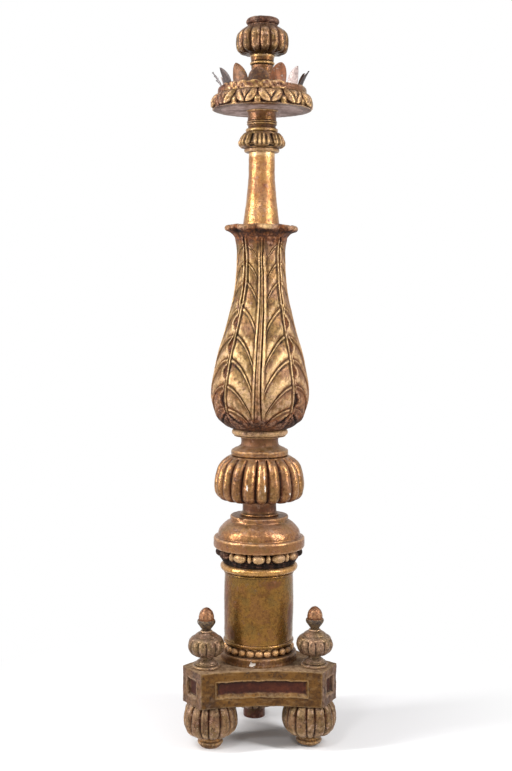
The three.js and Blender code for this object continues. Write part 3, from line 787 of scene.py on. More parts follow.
def bunForm(grooves):
    def lobes(azimuth, radius, height):
        across, width = lobeAt(azimuth + 0.03 * wobble(azimuth, height, 5, 90), grooves)
        crown = crownOf(across, 0.75, 2.3)
        size = np.clip(width / 29.5, 0.6, 1.0)
        upper = 0.55 + 0.45 * ramp(48, 88, height)
        depth = foot["grooveDepth"] * size * ramp(30, 50, radius) * upper
        dull = 2.4 * ramp(0.75, 0.55, size) * ramp(36, 52, radius)  # the narrow strips lie deeper
        dip = 1.2 * hump(across, 0, 0.35) * ramp(92, 104, height)
        low = 3.0 * (1 - crown) * ramp(60, 40, height)
        # painted shade: the grooves between the lobes darken, more towards the top under the plinth
        sootAndShade = 1.7 * ramp(0.72, 0.97, np.abs(across)) * ramp(58, 92, height)
        cut = depth * (1 - crown) + dip + dull - 0.8 * wobble(azimuth, height, 9)
        return azimuth, radius - cut, height + low, sootAndShade

    return lobes


def makeFeet():
    for side, azimuth in corners.items():
        at = offset(azimuth, foot["circle"])
        bun = lathe(curve(foot["outline"], 5), sides=300, form=bunForm(footGrooves(side)))
        finishPiece(bun, f"bunFoot.{side}", "foot", f"foot_bun_{side}", at)
        lift = foot["glideHeight"] if side == "right" else 0.0
        kind = "backPad" if side == "back" else "pad"
        pad = curve([(r, max(z, lift + 0.05 * z)) for r, z in foot[kind]], 4)
        pad = lathe(pad, sides=96, ease=0.6, form=swayed(0.5, 13))
        finishPiece(pad, f"footPad.{side}", kind, f"foot_pad_{side}", at=at)
    glide = turned(closedOn(eased(foot["glide"], 0.4)), 64)
    at = offset(corners["right"], foot["circle"])
    finishPiece(glide, "footGlide", "iron", "foot_glide_right", at)


def ironMaterial():
    material, shader, point = newMaterial("darkIron")
    m = marks(point)
    paint = m["rub"].step(0.45, 0.65).blend("1d1614", "4a3024")
    feed(shader, colour=paint, metallic=0.6, roughness=m["fine"] * 0.3 + 0.45, normal=m["rub"].bumped(0.4))
    return material


# ---- corner finials ----

finial = {
    "circle": 147.0,
    "foot": [(30, 191.3), (32, 193), (32, 196.3), (30, 198), (26.5, 198.6)],
    "ring": (27.5, 198.6, 203.4),
    "cone": [(24, 203.8), (21.5, 207), (17, 210.5), (14.5, 213), (14.2, 218)],
    "knop": [(15, 218.3), (28, 220.5), (38, 228), (43, 239), (43, 248), (39.5, 257), (33, 263.5),
             (28, 265.5)],
    "cap": [(27, 267.5), (23.5, 271), (18, 274.2), (14, 275.5)],
    "collar": (14.5, 275.7, 279.0),
    "stem": [(9.5, 279.3), (10.5, 282), (15.5, 289), (20.3, 296), (21, 301), (19.8, 304.2), (17.5, 304.8)],
    "nut": [(17.6, 305.2), (18, 310), (16.6, 318), (13, 325.5), (7.5, 331), (2.6, 333.2)],
    "cupTop": 304.5,  # where the acorn's cup ends
    "lobes": 12,
    "lobeDepth": 5.0,
}


def melonForm(grooves):
    def melon(azimuth, radius, height):
        across, _ = lobeAt(azimuth, grooves)
        crown = crownOf(across, 0.6)
        fade = ramp(17, 30, radius) * ramp(264, 256, height + 4 * across ** 2)
        lip = 0.52 * hump(height, 262 - 3 * across ** 2, 1.6) * (radius > 20)
        return azimuth, radius - finial["lobeDepth"] * fade * (1 - crown) + lip, height

    return melon


def makeFinials():
    for side, azimuth in corners.items():
        at = offset(azimuth, finial["circle"])
        base = [*finial["foot"], *halfRound(*finial["ring"]), *curve(finial["cone"], 4)]
        base = lathe(base, sides=128, pitch=1.6, ease=0.6, form=swayed(0.35, azimuth))
        finishPiece(base, f"finialFoot.{side}", "finial", f"finial_foot_{side}", at)
        melon = [*curve(finial["knop"], 6), *curve(finial["cap"], 4), *halfRound(*finial["collar"], 4)]
        grooves = evenGrooves(finial["lobes"], azimuth, azimuth, 0.12)
        melon = lathe(melon, sides=240, pitch=1.2, form=melonForm(grooves))
        finishPiece(melon, f"finialKnop.{side}", "finial", f"finial_knop_{side}", at)
        acorn = [*curve(finial["stem"], 5), *curve(finial["nut"], 6)]
        acorn = lathe(acorn, sides=96, pitch=1.2, form=swayed(0.3, azimuth + 2))
        finishPiece(acorn, f"finialAcorn.{side}", "acorn", f"finial_acorn_{side}", at)


def acornMaterial():
    material, shader, point = newMaterial("acornGilding")
    m = marks(point, 0.6)
    height = point.node("ShaderNodeSeparateXYZ", None, {0: point}, 2)
    cup = (height - finial["cupTop"] * mm).step(0.0008, -0.0008)
    nut = weighed(m, rub=0.5, mottle=0.5).step(0.43, 0.58).blend("825232", "4a2a1a")
    # crests of the nut take a paler colour: a painted highlight
    nut = nut.coated((m["relief"].step(0.1, 0.6), "a9805a"))
    shell = weighed(m, rub=0.6, fine=0.4).step(0.45, 0.58).blend("5f4a30", "2a1b14")
    paint = cup.blend(nut, shell).coated(
        # painted shade: hollows are darkened
        ((0 - m["relief"]).step(0.1, 0.8) * 0.8, "1f120b"),
        (weighed(m, fine=0.5, rub=0.5).step(0.62, 0.66) * cup, "d8cdb8"),
    )
    bump = weighed(m, fine=0.4, rub=0.8, mottle=0.5).bumped(0.9)
    rough = 0.38 + m["fine"] * 0.15 + cup * 0.15
    feed(shader, colour=paint, metallic=0.6 - cup * 0.35, roughness=rough, normal=bump)
    return material


# ---- column: disc, beads, drum, buds and cap ----

column = {
    "disc": [(91, 191.3), (91.5, 194), (91, 208), (89.5, 210.6), (79, 211)],
    "discChip": (-12.7, 199.5, 4.4, 5.0),
    "beadCore": [(62, 211.4), (72, 211.4), (72, 229.8), (62, 229.8), (62, 211.4)],
    "beads": {"count": 24, "circle": 76.8, "radius": 8.6, "height": 220.7, "first": -3.3},
    "core": [(72, 211.3), (72, 231)],
    "astragal": (84.5, 232, 240.5),
    "shaft": [(81.6, 241.5), (82.2, 262), (82.8, 320), (82.4, 370), (81.6, 398)],
    "thread": (84.2, 400, 405),
    "torus": (92.5, 407, 423.7),
    # how bare each worn patch of the drum is, then its place and half size as in spot
    "patches": [(0.8, -74, 330, 9, 75), (0.7, -58, 262, 12, 16), (0.8, 61, 300, 10, 40),
                (0.6, 21, 386, 16, 9), (0.7, 150, 330, 30, 50)],
    "flange": [(104, 461.3), (107.5, 463.5), (108.7, 466), (108.7, 484), (107, 487.2), (99.5, 488.6)],
    "dome": [(98.6, 490), (98, 496), (95.5, 504), (90.8, 510), (84, 517), (77, 522.5), (70.5, 526)],
    "fillet": [(69, 528.5), (69.3, 536), (68, 538), (47, 538)],
}


def discForm(azimuth, radius, height):
    chip = spot(azimuth, height, *column["discChip"]) * (radius > 85)
    sway = 0.6 * wobble(azimuth, height, 51) * ramp(60, 85, radius)
    return azimuth, radius + sway - 1.2 * chip, height, -chip


def drumForm(azimuth, radius, height):
    bare = sum(share * spot(azimuth, height, *patch) for share, *patch in column["patches"])
    sway = 0.55 * wobble(azimuth, height, 57, 120) * ramp(60, 80, radius)
    return azimuth, radius + sway, height, bare.clip(0, 1)


def capForm(azimuth, radius, height):
    dents = 0.9 * wobble(azimuth, height, 61, 160) * ramp(50, 80, radius)
    chip = 3.2 * hump(azimuth, radians(-42), 0.09) * hump(height, 538, 5) * ramp(60, 68, radius)
    rise = 0.5 * wobble(azimuth * 2, 0, 63) * ramp(80, 100, radius) - 0.8 * chip
    bare = 0.22 * ramp(103, 106, radius) + 0.2 * ramp(529, 533, height)
    return azimuth, radius + dents - chip, height + rise, bare


def makeBeads():
    bead = column["beads"]
    bm = turned(dense(eased(column["beadCore"], 0.4), 3), 128)
    draw = random.Random(6)
    for i in range(bead["count"]):
        turn = radians(bead["first"] + 360 * i / bead["count"] + draw.uniform(-0.5, 0.5))
        rise = draw.uniform(-0.4, 0.4)
        size = bead["radius"] * draw.uniform(0.95, 1.04)
        place = (bead["circle"] * sin(turn), -bead["circle"] * cos(turn), bead["height"] + rise)
        shape = Matrix.Translation(place) @ Matrix.Rotation(turn, 4, "Z") @ Matrix.Diagonal((1.05, 1, 1, 1))
        ball = bmesh.new()
        bmesh.ops.create_uvsphere(ball, u_segments=32, v_segments=20, radius=size, matrix=shape)
        join(bm, ball)
    finishPiece(bm, "beadRing", "beads", "column_bead_ring", crust=0.15)


def makeColumn():
    disc = lathe(column["disc"], sides=240, pitch=2.5, ease=1.2, form=discForm)
    finishPiece(disc, "columnDisc", "disc", "column_base_disc")
    makeBeads()
    drum = [*column["core"], *halfRound(*column["astragal"]), *curve(column["shaft"], 5),
            *halfRound(*column["thread"], 6), *halfRound(*column["torus"], 12)]
    drum = lathe(drum, sides=260, pitch=3.0, ease=0.6, form=drumForm)
    finishPiece(drum, "columnDrum", "drum", "column_drum")
    makeBuds()
    cap = [*column["flange"], *curve(column["dome"], 6), *column["fillet"]]
    cap = lathe(cap, sides=280, pitch=2.2, ease=1.1, form=capForm)
    finishPiece(cap, "columnCap", "dome", "column_cap")


buds = {
    "count": 12, "first": -4.0, "core": 84.5, "reach": 104.0,
    "wide": 10.2, "narrow": 4.2,  # half widths, degrees
    "low": 424.3, "high": 460.9,
}


def budForm(azimuth, radius, height):
    low, high, pitch = buds["low"], buds["high"], 360 / buds["count"]
    degrees = np.degrees(azimuth) - buds["first"] + 1.2 * np.sin(azimuth * 5 + 1)
    wide = nearest(degrees, pitch)
    narrow = degrees % pitch - pitch / 2
    up = (height - low) / (high - low)
    cap = np.sqrt(np.clip(1 - (wide / buds["wide"]) ** 2 - ((up - 0.68) / 0.33) ** 2, 0, 1)) ** 0.8
    dart = 0.62 * np.sqrt(np.clip(1 - (narrow / buds["narrow"]) ** 2 - ((up - 0.66) / 0.32) ** 2, 0, 1))
    stalk = 0.28 * hump(wide, 0, 3.0) * hump(up, 0.2, 0.16)
    stalk = stalk + 0.2 * hump(np.abs(wide), 9.0, 2.0) * hump(up, 0.3, 0.2)
    out = (buds["reach"] - buds["core"]) * np.maximum(np.maximum(cap, dart), stalk) * ramp(60, 84, radius)
    # painted shade: dark under the caps, between them, and on the band's sides to the left and right
    sootAndShade = (0.6 + 0.25 * np.sin(azimuth * 17)) * ramp(0.5, 0.4, up)
    sootAndShade = sootAndShade + 1.4 * ramp(0.4, 0.12, np.maximum(cap, dart)) * (1 - 0.3 * np.sin(azimuth * 11 + height))
    sootAndShade = sootAndShade + 1.8 * ramp(0.72, 0.92, np.abs(np.sin(azimuth)))
    return azimuth, np.where(radius > 80, buds["core"] + out, radius), height, np.clip(sootAndShade, 0, 2)


def makeBuds():
    low, high = buds["low"], buds["high"]
    ring = [(70, low), (buds["core"], low + 0.2), (buds["core"], high - 0.2), (70, high)]
    band = lathe(ring, sides=720, pitch=1.5, form=budForm)
    finishPiece(band, "budBand", "buds", "column_bud_band")


# ---- gadrooned knop and collar ----

knop = {
    "neck": [(44, 538.3), (46.3, 540.5), (45.5, 543.5), (41.5, 546.5), (40.5, 551), (40.5, 569), (42, 573.6)],
    "under": [(45, 574.4), (60, 574.5)],
    "belly": [(76, 574.8), (88, 577), (96, 580.6), (101.5, 586), (105.3, 593), (107.3, 603), (107.5, 616),
              (105.8, 630), (103, 643), (99, 655), (92.5, 665.5), (83, 674), (73, 680)],
    "lobes": 20,
    "depth": 12.5,
    "first": -9.0,
    # white chips of gesso: azimuth, height, half width in degrees, half height
    "chips": [(-19.3, 618, 1.0, 7), (2.4, 642, 0.9, 4), (3.2, 617, 0.9, 8), (38, 601, 1.0, 3)],
    "collar": [(60, 681.3), (66.5, 682.5), (68, 685), (68, 692.5), (66.6, 695.3), (62.5, 697)],
    "collarNeck": [(60, 699), (52, 702.5), (46.5, 706), (44.2, 712), (44.2, 720), (46, 726.7)],
}


def knopForm(azimuth, radius, height):
    grooves = evenGrooves(knop["lobes"], knop["first"], 77, 0.09)
    across, _ = lobeAt(azimuth + 0.02 * wobble(azimuth, height, 71, 160), grooves)
    crown = crownOf(across, 0.85)
    fade = ramp(52, 84, radius) * ramp(682, 673, height)
    ends = 6.0 * across ** 2 * ramp(590, 575, height) * ramp(58, 82, radius)
    cut = knop["depth"] * fade * (1 - crown)
    # painted shade: the grooves between the lobes, the underside of the knop and the neck below it are
    # darkened
    bare = 1.4 * ramp(0.62, 0.97, np.abs(across)) * fade + 1.1 * ramp(590, 574, height) * (radius > 48)
    bare = bare + 0.8 * ramp(572, 560, height) * ramp(546, 552, height)
    for place in knop["chips"]:
        chip = spot(azimuth, height, *place) * (radius > 90)
        bare = bare * (1 - chip) - chip
    return azimuth, radius - cut + 0.9 * wobble(azimuth, height, 73, 90), height + ends, bare.clip(-1, 2)


def collarForm(azimuth, radius, height):
    bare = 0.55 * ramp(697, 703, height) * ramp(50, 47, radius)
    return azimuth, radius + 0.6 * wobble(azimuth, height, 81), height + 0.4 * wobble(azimuth, 0, 83), bare


def makeKnop():
    body = [*curve(knop["neck"], 5), *knop["under"], *curve(knop["belly"], 7), (70, 680.7)]
    body = lathe(body, sides=480, form=knopForm)
    finishPiece(body, "gadroonedKnop", "knop", "gadrooned_knop")
    collar = [*knop["collar"], *curve(knop["collarNeck"], 5)]
    collar = lathe(collar, sides=220, ease=1.0, form=collarForm)
    finishPiece(collar, "knopCollar", "collar", "knop_collar")


# ---- acanthus baluster ----

leafWork = {
    "foot": 747.0,
    "veinEnds": [801, 854, 915, 969, 1033, 1093, 1137, 1179],  # heights where the veins meet the seams
    "top": 1195.0,
    "fall": 0.92,  # how far a vein falls from the seam to the midrib, as a share of the radius
    "room": 0.85,  # the most that it falls near the bottom, as a share of the height left there
    # azimuths by height, of the middle of the front leaf and of its midrib, and half the midrib's width in mm
    "middle": [(747, -6.0), (800, -5.5), (915, -4.0), (969, -3.2), (1048, -0.4), (1107, 1.0), (1175, -0.8)],
    "midrib": [(747, -7.2), (853, -7.0), (887, -6.8), (922, -5.9), (957, -4.9), (1003, -3.3), (1037, -2.1),
               (1107, -2.1), (1142, -3.5), (1195, -3.0)],
    "ribHalf": [(747, 9.0), (820, 6.0), (887, 5.3), (957, 5.0), (1003, 4.0), (1072, 2.8), (1137, 1.8),
                (1195, 2.5)],
    "eyes": [(797, 843), (867, 903), (924, 963), (979, 1016)],  # where the leaf edges stand apart
    "band": 1040.0,  # above this the seam is an even band
    "crackFoot": 783,  # a split runs beside the front midrib from here up to 1025
    "tips": [-74, -34, 8, 56, 101, 146, 191, 236],
    "sides": 320,
}

leafOutline = [
    (69, 747), (80, 752), (90, 760), (97.5, 768.5), (104, 782), (109.5, 799), (113.3, 816), (114.3, 832),
    (113, 851), (110.3, 867), (106, 888), (101.4, 912), (95.6, 935), (88, 959), (80.5, 985), (73.3, 1014),
    (66.5, 1042), (61.3, 1066), (58.3, 1092), (56, 1118), (55.4, 1150), (56.2, 1172), (58.8, 1186),
    (61.5, 1195),
]
lipOutline = [(61.5, 1195), (66, 1200.5), (72, 1205), (79, 1208.5), (85, 1211), (88.5, 1215), (88, 1220.5),
              (83, 1224), (73, 1221), (60, 1213.5), (47, 1208.5)]


def along(table, height):
    return np.interp(height, [row[0] for row in table], [row[1] for row in table])


def bodyRadius(height):
    return along([row[::-1] for row in curve(leafOutline, 3)], height)


def veinLevels():
    return [leafWork["foot"], *leafWork["veinEnds"], leafWork["top"]]


def veinRows():
    # the heights on a seam of the rows of points, close together about each vein
    shares = [0.0, 0.018, 0.04, 0.07, 0.11, 0.16, 0.22, 0.29, 0.37, 0.45, 0.53, 0.61, 0.69, 0.76, 0.81, 0.845,
              0.862, 0.878, 0.895, 0.912, 0.928, 0.943, 0.958, 0.972, 0.986]
    levels = veinLevels()
    return [low + share * (high - low) for low, high in zip(levels, levels[1:]) for share in shares]


def leafPlace(azimuth, level):
    # level is the height of a row of points on the seam; each row follows the sweep of the veins
    quarter = tau / 4
    first = radians(leafWork["middle"][2][1])
    turn = azimuth - first
    local = nearest(turn, quarter)
    p = SimpleNamespace(level=level, centre=azimuth - local - first, front=np.abs(turn) < quarter / 2)
    p.facing = p.front | (np.abs(turn) > 3 * quarter / 2)  # the side leaves alone have eyes and notched edges
    local = local - 0.055 * np.sin(8 * local)  # draws the points in towards the midrib and the seams
    p.right = local > 0
    p.local, p.fromSeam = local, quarter / 2 - np.abs(local)
    ribEnd = (along(leafWork["ribHalf"], level - 50) + 6) / bodyRadius(level - 40)
    inward = np.clip(p.fromSeam / (quarter / 2 - ribEnd), 0, 1)
    bend = (inward ** 2 + 1 - np.sqrt(1 - inward ** 2)) / 2
    fall = np.minimum(leafWork["fall"] * bodyRadius(level), leafWork["room"] * (level - leafWork["foot"]))
    fall = fall * ramp(leafWork["top"], leafWork["veinEnds"][-1], level)
    p.height = level - fall * bend * (1 + 0.05 * np.sin(level / 23 + 5 * p.centre + 3 * np.sign(local)))
    p.radius = bodyRadius(p.height)
    p.arc, p.toSeam = np.abs(local) * p.radius, p.fromSeam * p.radius  # mm from the midrib and from the seam
    p.ribHalf = along(leafWork["ribHalf"], p.height)
    p.share = np.interp(level, veinLevels(), np.arange(len(veinLevels()))) % 1  # from one vein to the next
    return p


def markParts(p):
    # how much of a vein, split, eye, seam or bottom hole each point has
    p.veined = ramp(np.where(p.facing, 5.0, 1.5), np.where(p.facing, 10.0, 5.5), p.toSeam)
    p.veined = p.veined * ramp(p.ribHalf + 4.5, p.ribHalf + 11.0, p.arc) * ramp(1192, 1175, p.level)
    p.deep = ramp(leafWork["crackFoot"], leafWork["crackFoot"] + 20, p.height) * ramp(1025, 1000, p.height)
    p.split = p.deep * p.front * p.right
    p.eye = np.zeros(len(p.height))
    for low, high in leafWork["eyes"]:
        p.eye = np.maximum(p.eye, np.sin(pi * np.clip((p.height - low) / (high - low), 0, 1)))
    p.half = np.where(p.height > leafWork["band"], 2.3 + 0.5 * np.sin(p.height / 9), 0.7)
    p.half = p.half + p.eye * np.where(p.facing, 0.3, 13.5)
    p.seam = ramp(p.half + 0.9, p.half - 0.5, p.toSeam)
    p.slant = np.abs(p.toSeam - 4 - (787 - p.height) * 1.15)


def leafRelief(p):
    share, arc, height = p.share, p.arc, p.height
    veins = -1.9 * np.exp(-share / 0.07) + 2.6 * hump(share, 0.935, 0.05) - 0.7 * hump(share, 0.8, 0.05)
    veins = veins + (1.3 * np.sin(pi * share) + 0.8 * np.sin(tau * share / 0.9)) * (share < 0.9)
    veins = veins * p.veined * np.clip(p.radius / 80, 0.75, 1.15)
    midrib = 1.4 * ramp(p.ribHalf + 0.5, p.ribHalf - 0.8, arc)
    midrib = midrib - (2.6 + 3.6 * p.split) * hump(arc, p.ribHalf + 0.8, 1.1 + 0.5 * p.deep)
    ridgeAt = p.ribHalf + np.where(p.right, 4.6, 3.9)
    ridge = 2.3 * hump(arc, ridgeAt, np.where(p.right, 2.8, 2.2)) - 1.2 * hump(arc, ridgeAt + 5.5, 2.6)
    midrib = midrib + ridge * ramp(1180, 1140, height)
    seam = p.seam * (3.4 + 2.2 * p.eye) * ramp(752, 790, height)
    edge = np.where(p.facing, 3.0, 1.6) * hump(p.toSeam, p.half + 2.8, 1.9)
    edge = edge - np.where(p.facing, 1.8, 0.8) * hump(p.toSeam, p.half + 7.2, 2.2)
    hole = 8.0 * hump(p.slant, 0, 3.0) * hump(height, 776, 9.0)
    brow = 2.4 * hump(p.slant, 6.5, 2.8) * hump(height, 780, 11.0)
    petals = hump((arc - 13 * ramp(752, 785, height)) / 4.0, 0, 1.0) + hump(arc / 3.6, 0, 1.0)
    petals = 2.4 * petals * hump(height, 766, 9) * (arc < 26)
    shape = midrib + veins - seam + edge * ramp(760, 800, height) - hole + brow + petals
    return shape * ramp(750, 778, height) * ramp(1197, 1186, height)


def leafWearAndShade(p):
    height = p.height
    # painted shade, beside the open seams, the split and the worn midrib: near-black in the holes at the
    # foot, darker over the lower part, the side leaves and the foot, under the lip and in the groove above
    # each vein
    bare = p.seam * (1.15 - 0.25 * p.eye) + 1.95 * hump(p.slant, 0, 4.4) * hump(height, 776, 11)
    bare = bare + 0.55 * ramp(900, 800, height) + np.where(p.facing, 0.0, 0.3) * ramp(1050, 900, height)
    bare = bare + 0.22 * ramp(p.ribHalf + 0.5, p.ribHalf - 0.5, p.arc) * ramp(1190, 1150, height) * p.front
    bare = bare + 1.6 * hump(p.arc, p.ribHalf + 0.8, 0.9) * p.split
    bare = bare + 0.75 * ramp(786, 764, height) + 0.95 * ramp(1170, 1190, height)
    bare = bare + 0.5 * ramp(1120, 1160, height) * ramp(0.25, 0.0, p.share)
    return np.clip(bare + 0.3 * ramp(0.12, 0.0, p.share) * p.veined, 0, 2)


def leafForm(azimuth, level):
    p = leafPlace(azimuth, level)
    markParts(p)
    middle, midrib = [radians(1) * along(leafWork[key], p.height) for key in ("middle", "midrib")]
    newAzimuth = p.centre + p.local + middle + (midrib - middle) * (1 - np.abs(p.local) / (tau / 8)) ** 2
    return newAzimuth, p.radius + leafRelief(p), p.height, leafWearAndShade(p)


def tipAt(azimuth):
    # 1 in the middle of a leaf tip, 0 in the valley between two
    centres = np.array([*leafWork["tips"], leafWork["tips"][0] + 360])
    degrees = (np.degrees(azimuth) - centres[0]) % 360 + centres[0]
    right = np.clip(np.searchsorted(centres, degrees, "right"), 1, len(centres) - 1)
    share = (degrees - centres[right - 1]) / (centres[right] - centres[right - 1])
    return (1 + np.cos(tau * share)) / 2


def lipForm(azimuth, radius, height):
    tip = tipAt(azimuth) ** 0.55
    out = ramp(62, 88, radius)
    reach = radius - 15.0 * (1 - tip) * out + 1.5 * wobble(azimuth, height, 97) * out
    ribs = 0.9 * np.cos(azimuth * 24 + 2 * np.sin(azimuth * 5))
    ribs = ribs * ramp(60, 68, radius) * ramp(1219, 1206, height)
    droop = 1.5 * tip * out ** 3 - 1.5 * (1 - tip) * out
    side = 3.0 * hump(azimuth, radians(58), 0.35) * out
    # the rim keeps its gilding most at the front, which paints a highlight line there
    rim = ramp(80, 85, radius) * ramp(1210, 1216, height) * (0.35 + 0.65 * hump(azimuth, radians(4), 0.25))
    # painted shade: the lip is dark brown below the rim, darker on its underside and in the valleys between
    # the tips
    sootAndShade = 0.5 + 0.5 * np.sin(azimuth * 7 + 1.2)
    bare = 1.1 + 0.75 * sootAndShade * ramp(64, 76, radius) * ramp(1216, 1209, height) + 0.4 * (1 - tip)
    middle = radians(1) * along(leafWork["middle"], leafWork["top"]) * ramp(1215, 1195, height)
    return azimuth + middle, reach + ribs + side, height - droop - side, (bare * (1 - 0.9 * rim)).clip(0, 2)


def balusterForm(azimuth, radius, height):
    inLeaves = (height > leafWork["foot"] - 0.1) & (height < leafWork["top"] - 0.01) & (radius > 50)
    inLip = (height > leafWork["top"] - 0.02) & (radius > 46)
    leaf, lip = leafForm(azimuth, height), lipForm(azimuth, radius, height)
    kept = (azimuth, radius, height, np.where(height < 750, 0.5, 0.0))
    return tuple(np.where(inLip, c, np.where(inLeaves, b, a)) for a, b, c in zip(kept, leaf, lip))


def makeBaluster():
    roll = [(52, 727.4), (61, 728), *halfRound(66.5, 730, 745, 10), (66, 746)]
    rows = [(float(bodyRadius(level)), level) for level in veinRows()]
    outline = [*dense(roll, 2.5), *rows, *dense(curve(lipOutline, 4), 1.8)]
    body = carve(turned(closedOn(outline), leafWork["sides"]), balusterForm)
    finishPiece(body, "acanthusBaluster", "leaf", "leaf_baluster", sharp=70)


# ---- neck shaft, leaf collar and pan stem ----

neck = {
    "shaft": [(45, 1206.4), (43.5, 1222), (41, 1238), (38.5, 1258), (36, 1275), (34, 1299), (32, 1322),
              (30.6, 1342), (30.4, 1366), (30.4, 1391.9)],
    "collarFoot": [(38, 1392.3), (40.5, 1394), (41.5, 1397.5), (40.5, 1400.6), (44, 1402.3)],
    "collarLeaf": [(51, 1404), (55.5, 1409), (56, 1414), (53.4, 1420), (50, 1427), (46, 1432), (42.5, 1436)],
    "collarTop": (38, 1436.8),
    "leaves": 6,
    "leafSpan": (1402, 1435),  # heights of the foot and the tip of the small leaves
    "stem": [(33, 1437.4), *halfRound(37.8, 1438, 1447.5, 8), (33, 1448.5), (32, 1451), (32.5, 1453.5),
             *halfRound(35.2, 1455, 1459, 5), (33.6, 1460), *halfRound(35.4, 1460.6, 1463.5, 4), (33.4, 1465),
             (33.3, 1472), (34.5, 1482), (37, 1487.8)],
}


def smallLeafForm(azimuth, radius, height):
    pitch = 360 / neck["leaves"]
    low, high = neck["leafSpan"]
    degrees = np.degrees(azimuth) + 4.0 + 1.5 * np.sin(azimuth * 2)
    local = nearest(degrees, pitch)
    half = 26.0 - 5.0 * ramp(0.4, 0.0, (height - low) / (high - low))
    crown = np.sqrt(np.clip(1 - (local / half) ** 2, 0, 1)) ** 0.55
    fold = hump(np.abs(local), 5.5, 2.2) - 1.1 * hump(local, 0, 2.4) - 0.9 * hump(np.abs(local), 11.5, 2.6)
    fold = fold + 0.9 * hump(np.abs(local), 17.5, 3.0)
    body = ramp(1402.5, 1408, height) * ramp(1436, 1428, height)
    out = body * (2.0 * fold - 9.0 * (1 - crown))
    lift = 4.0 * (1 - crown) * ramp(1412, 1404, height) * (radius > 42)
    return azimuth, radius + out * ramp(40, 46, radius), height + lift


def makeNeck():
    shaft = lathe(curve(neck["shaft"], 6), sides=128, pitch=3.0, form=swayed(0.35, 101, 80))
    finishPiece(shaft, "neckShaft", "shaft", "neck_shaft")
    collar = [*neck["collarFoot"], *curve(neck["collarLeaf"], 6), neck["collarTop"]]
    collar = lathe(collar, sides=300, pitch=1.3, form=smallLeafForm)
    finishPiece(collar, "leafCollar", "smallLeaf", "leaf_collar")
    stem = lathe(neck["stem"], sides=128, pitch=1.6, form=swayed(0.3, 107, 60))
    finishPiece(stem, "panStem", "stem", "pan_stem")


# ---- drip pan, its ring and sheet-metal leaves ----

pan = {
    "dish": [(37.4, 1488.4), (70, 1488.5), (105, 1488.7), (113.5, 1489), (117, 1490.4), (118.2, 1494),
             (118.2, 1501), (117.8, 1508), (116, 1514), (112.4, 1519.5), (107.5, 1523.4), (103, 1524.8),
             (70, 1525)],
    "ring": [(95.5, 1525.3), (103, 1525.3), (103.4, 1530), (102.8, 1537.5), (101, 1540.4), (96.5, 1540.4),
             (95.5, 1538), (95.5, 1525.3)],
    "leaves": 12,
    "first": 6.4,
    "bareUnder": 95.0,  # inside this radius the underside was never gilded
}


def panForm(azimuth, radius, height):
    pitch = 360 / pan["leaves"]
    degrees = np.degrees(azimuth) - pan["first"] + 0.8 * np.sin(azimuth * 5 + 2)
    local = nearest(degrees, pitch)
    dartAt = degrees % pitch - pitch / 2
    fall = np.clip((1524 - height) / 32.0, 0, 1)  # 0 at the top of a leaf, 1 at its foot
    half = 14.3 * np.sqrt(np.clip(1 - fall ** 3.2, 0.0, 1))
    edge = np.clip(1 - (np.abs(local) / np.maximum(half, 0.1)) ** 4, 0, 1) ** 0.5
    vee = 6.5 * (1 - ramp(0.0, 0.85, fall))
    fold = -2.6 * hump(np.abs(local), vee, 1.3) + 1.6 * hump(local, 0, 1.6) * ramp(0.9, 0.5, fall)
    fold = fold + 1.6 * hump(np.abs(local), vee + 3.6, 2.6) - 1.0 * hump(np.abs(local), 12.5, 1.4)
    dart = np.sqrt(np.clip(1 - (dartAt / 4.2) ** 2, 0, 1)) * ramp(0.35, 0.7, fall)
    cover = np.maximum(edge, 0.72 * dart)
    ring = ramp(102, 110, radius)
    under = ramp(1489.5, 1493, height)
    cut = (1 - cover) * 8.0 * ring * under
    relief = fold * edge * ring * under
    # painted shade: dark where the rim is cut back between and under the leaves; the outer underside is bare
    # wood
    bare = 1.5 * ramp(0.45, 0.2, cover) * ring * under + 0.7 * ramp(1490, 1489, height) * ramp(88, 94, radius)
    bare = bare + 0.9 * spot(azimuth, height, -63, 1505, 14, 22) * ring
    sway = 0.8 * wobble(azimuth, height, 111, 60) * ring
    return azimuth, radius - cut + relief + sway, height, bare.clip(0, 2)


def crumpled(azimuth, radius, height):
    # from the left round to the front the ring is covered with crushed leaf
    degrees = np.degrees(azimuth)
    crushed = ramp(-75, -55, degrees) * ramp(30, 24, degrees)
    lumps = np.sin(azimuth * 31 + 2 * np.sin(azimuth * 9)) * np.sin(height * 0.42 + azimuth * 14)
    out = 0.7 * wobble(azimuth, 0, 113) + crushed * ramp(97, 102, radius) * (1.0 + 0.8 * lumps)
    rise = 0.8 * wobble(azimuth * 3, 0, 115) + crushed * (2.2 + 1.4 * np.sin(azimuth * 23 + 1))
    # the hollows between the crushed lumps are darkened, partly as dirt and partly as painted shade
    bare = crushed * 1.2 * ramp(-0.2, -0.9, lumps) + ramp(-50, -66, degrees) * ramp(-110, -95, degrees)
    bare = bare + 0.7 * ramp(24, 28, degrees) * ramp(60, 50, degrees)
    return azimuth, radius + out, height + rise * ramp(1530, 1540, height), bare.clip(0, 2)


def makePan():
    dish = lathe(pan["dish"], sides=560, ease=1.0, form=panForm)
    for face in dish.faces:
        middle = face.calc_center_median()
        if face.normal.z < -0.8 and middle.z < 1492 and middle.xy.length < pan["bareUnder"]:
            face.material_index = 1
    piece = finishPiece(dish, "dripPan", "pan", "drip_pan")
    piece.data.materials.append(finishes["underPan"])
    ring = carve(turned(dense(eased(pan["ring"], 0.8), 1.6), 420), crumpled)
    finishPiece(ring, "panRing", "ring", "pan_edge_ring")


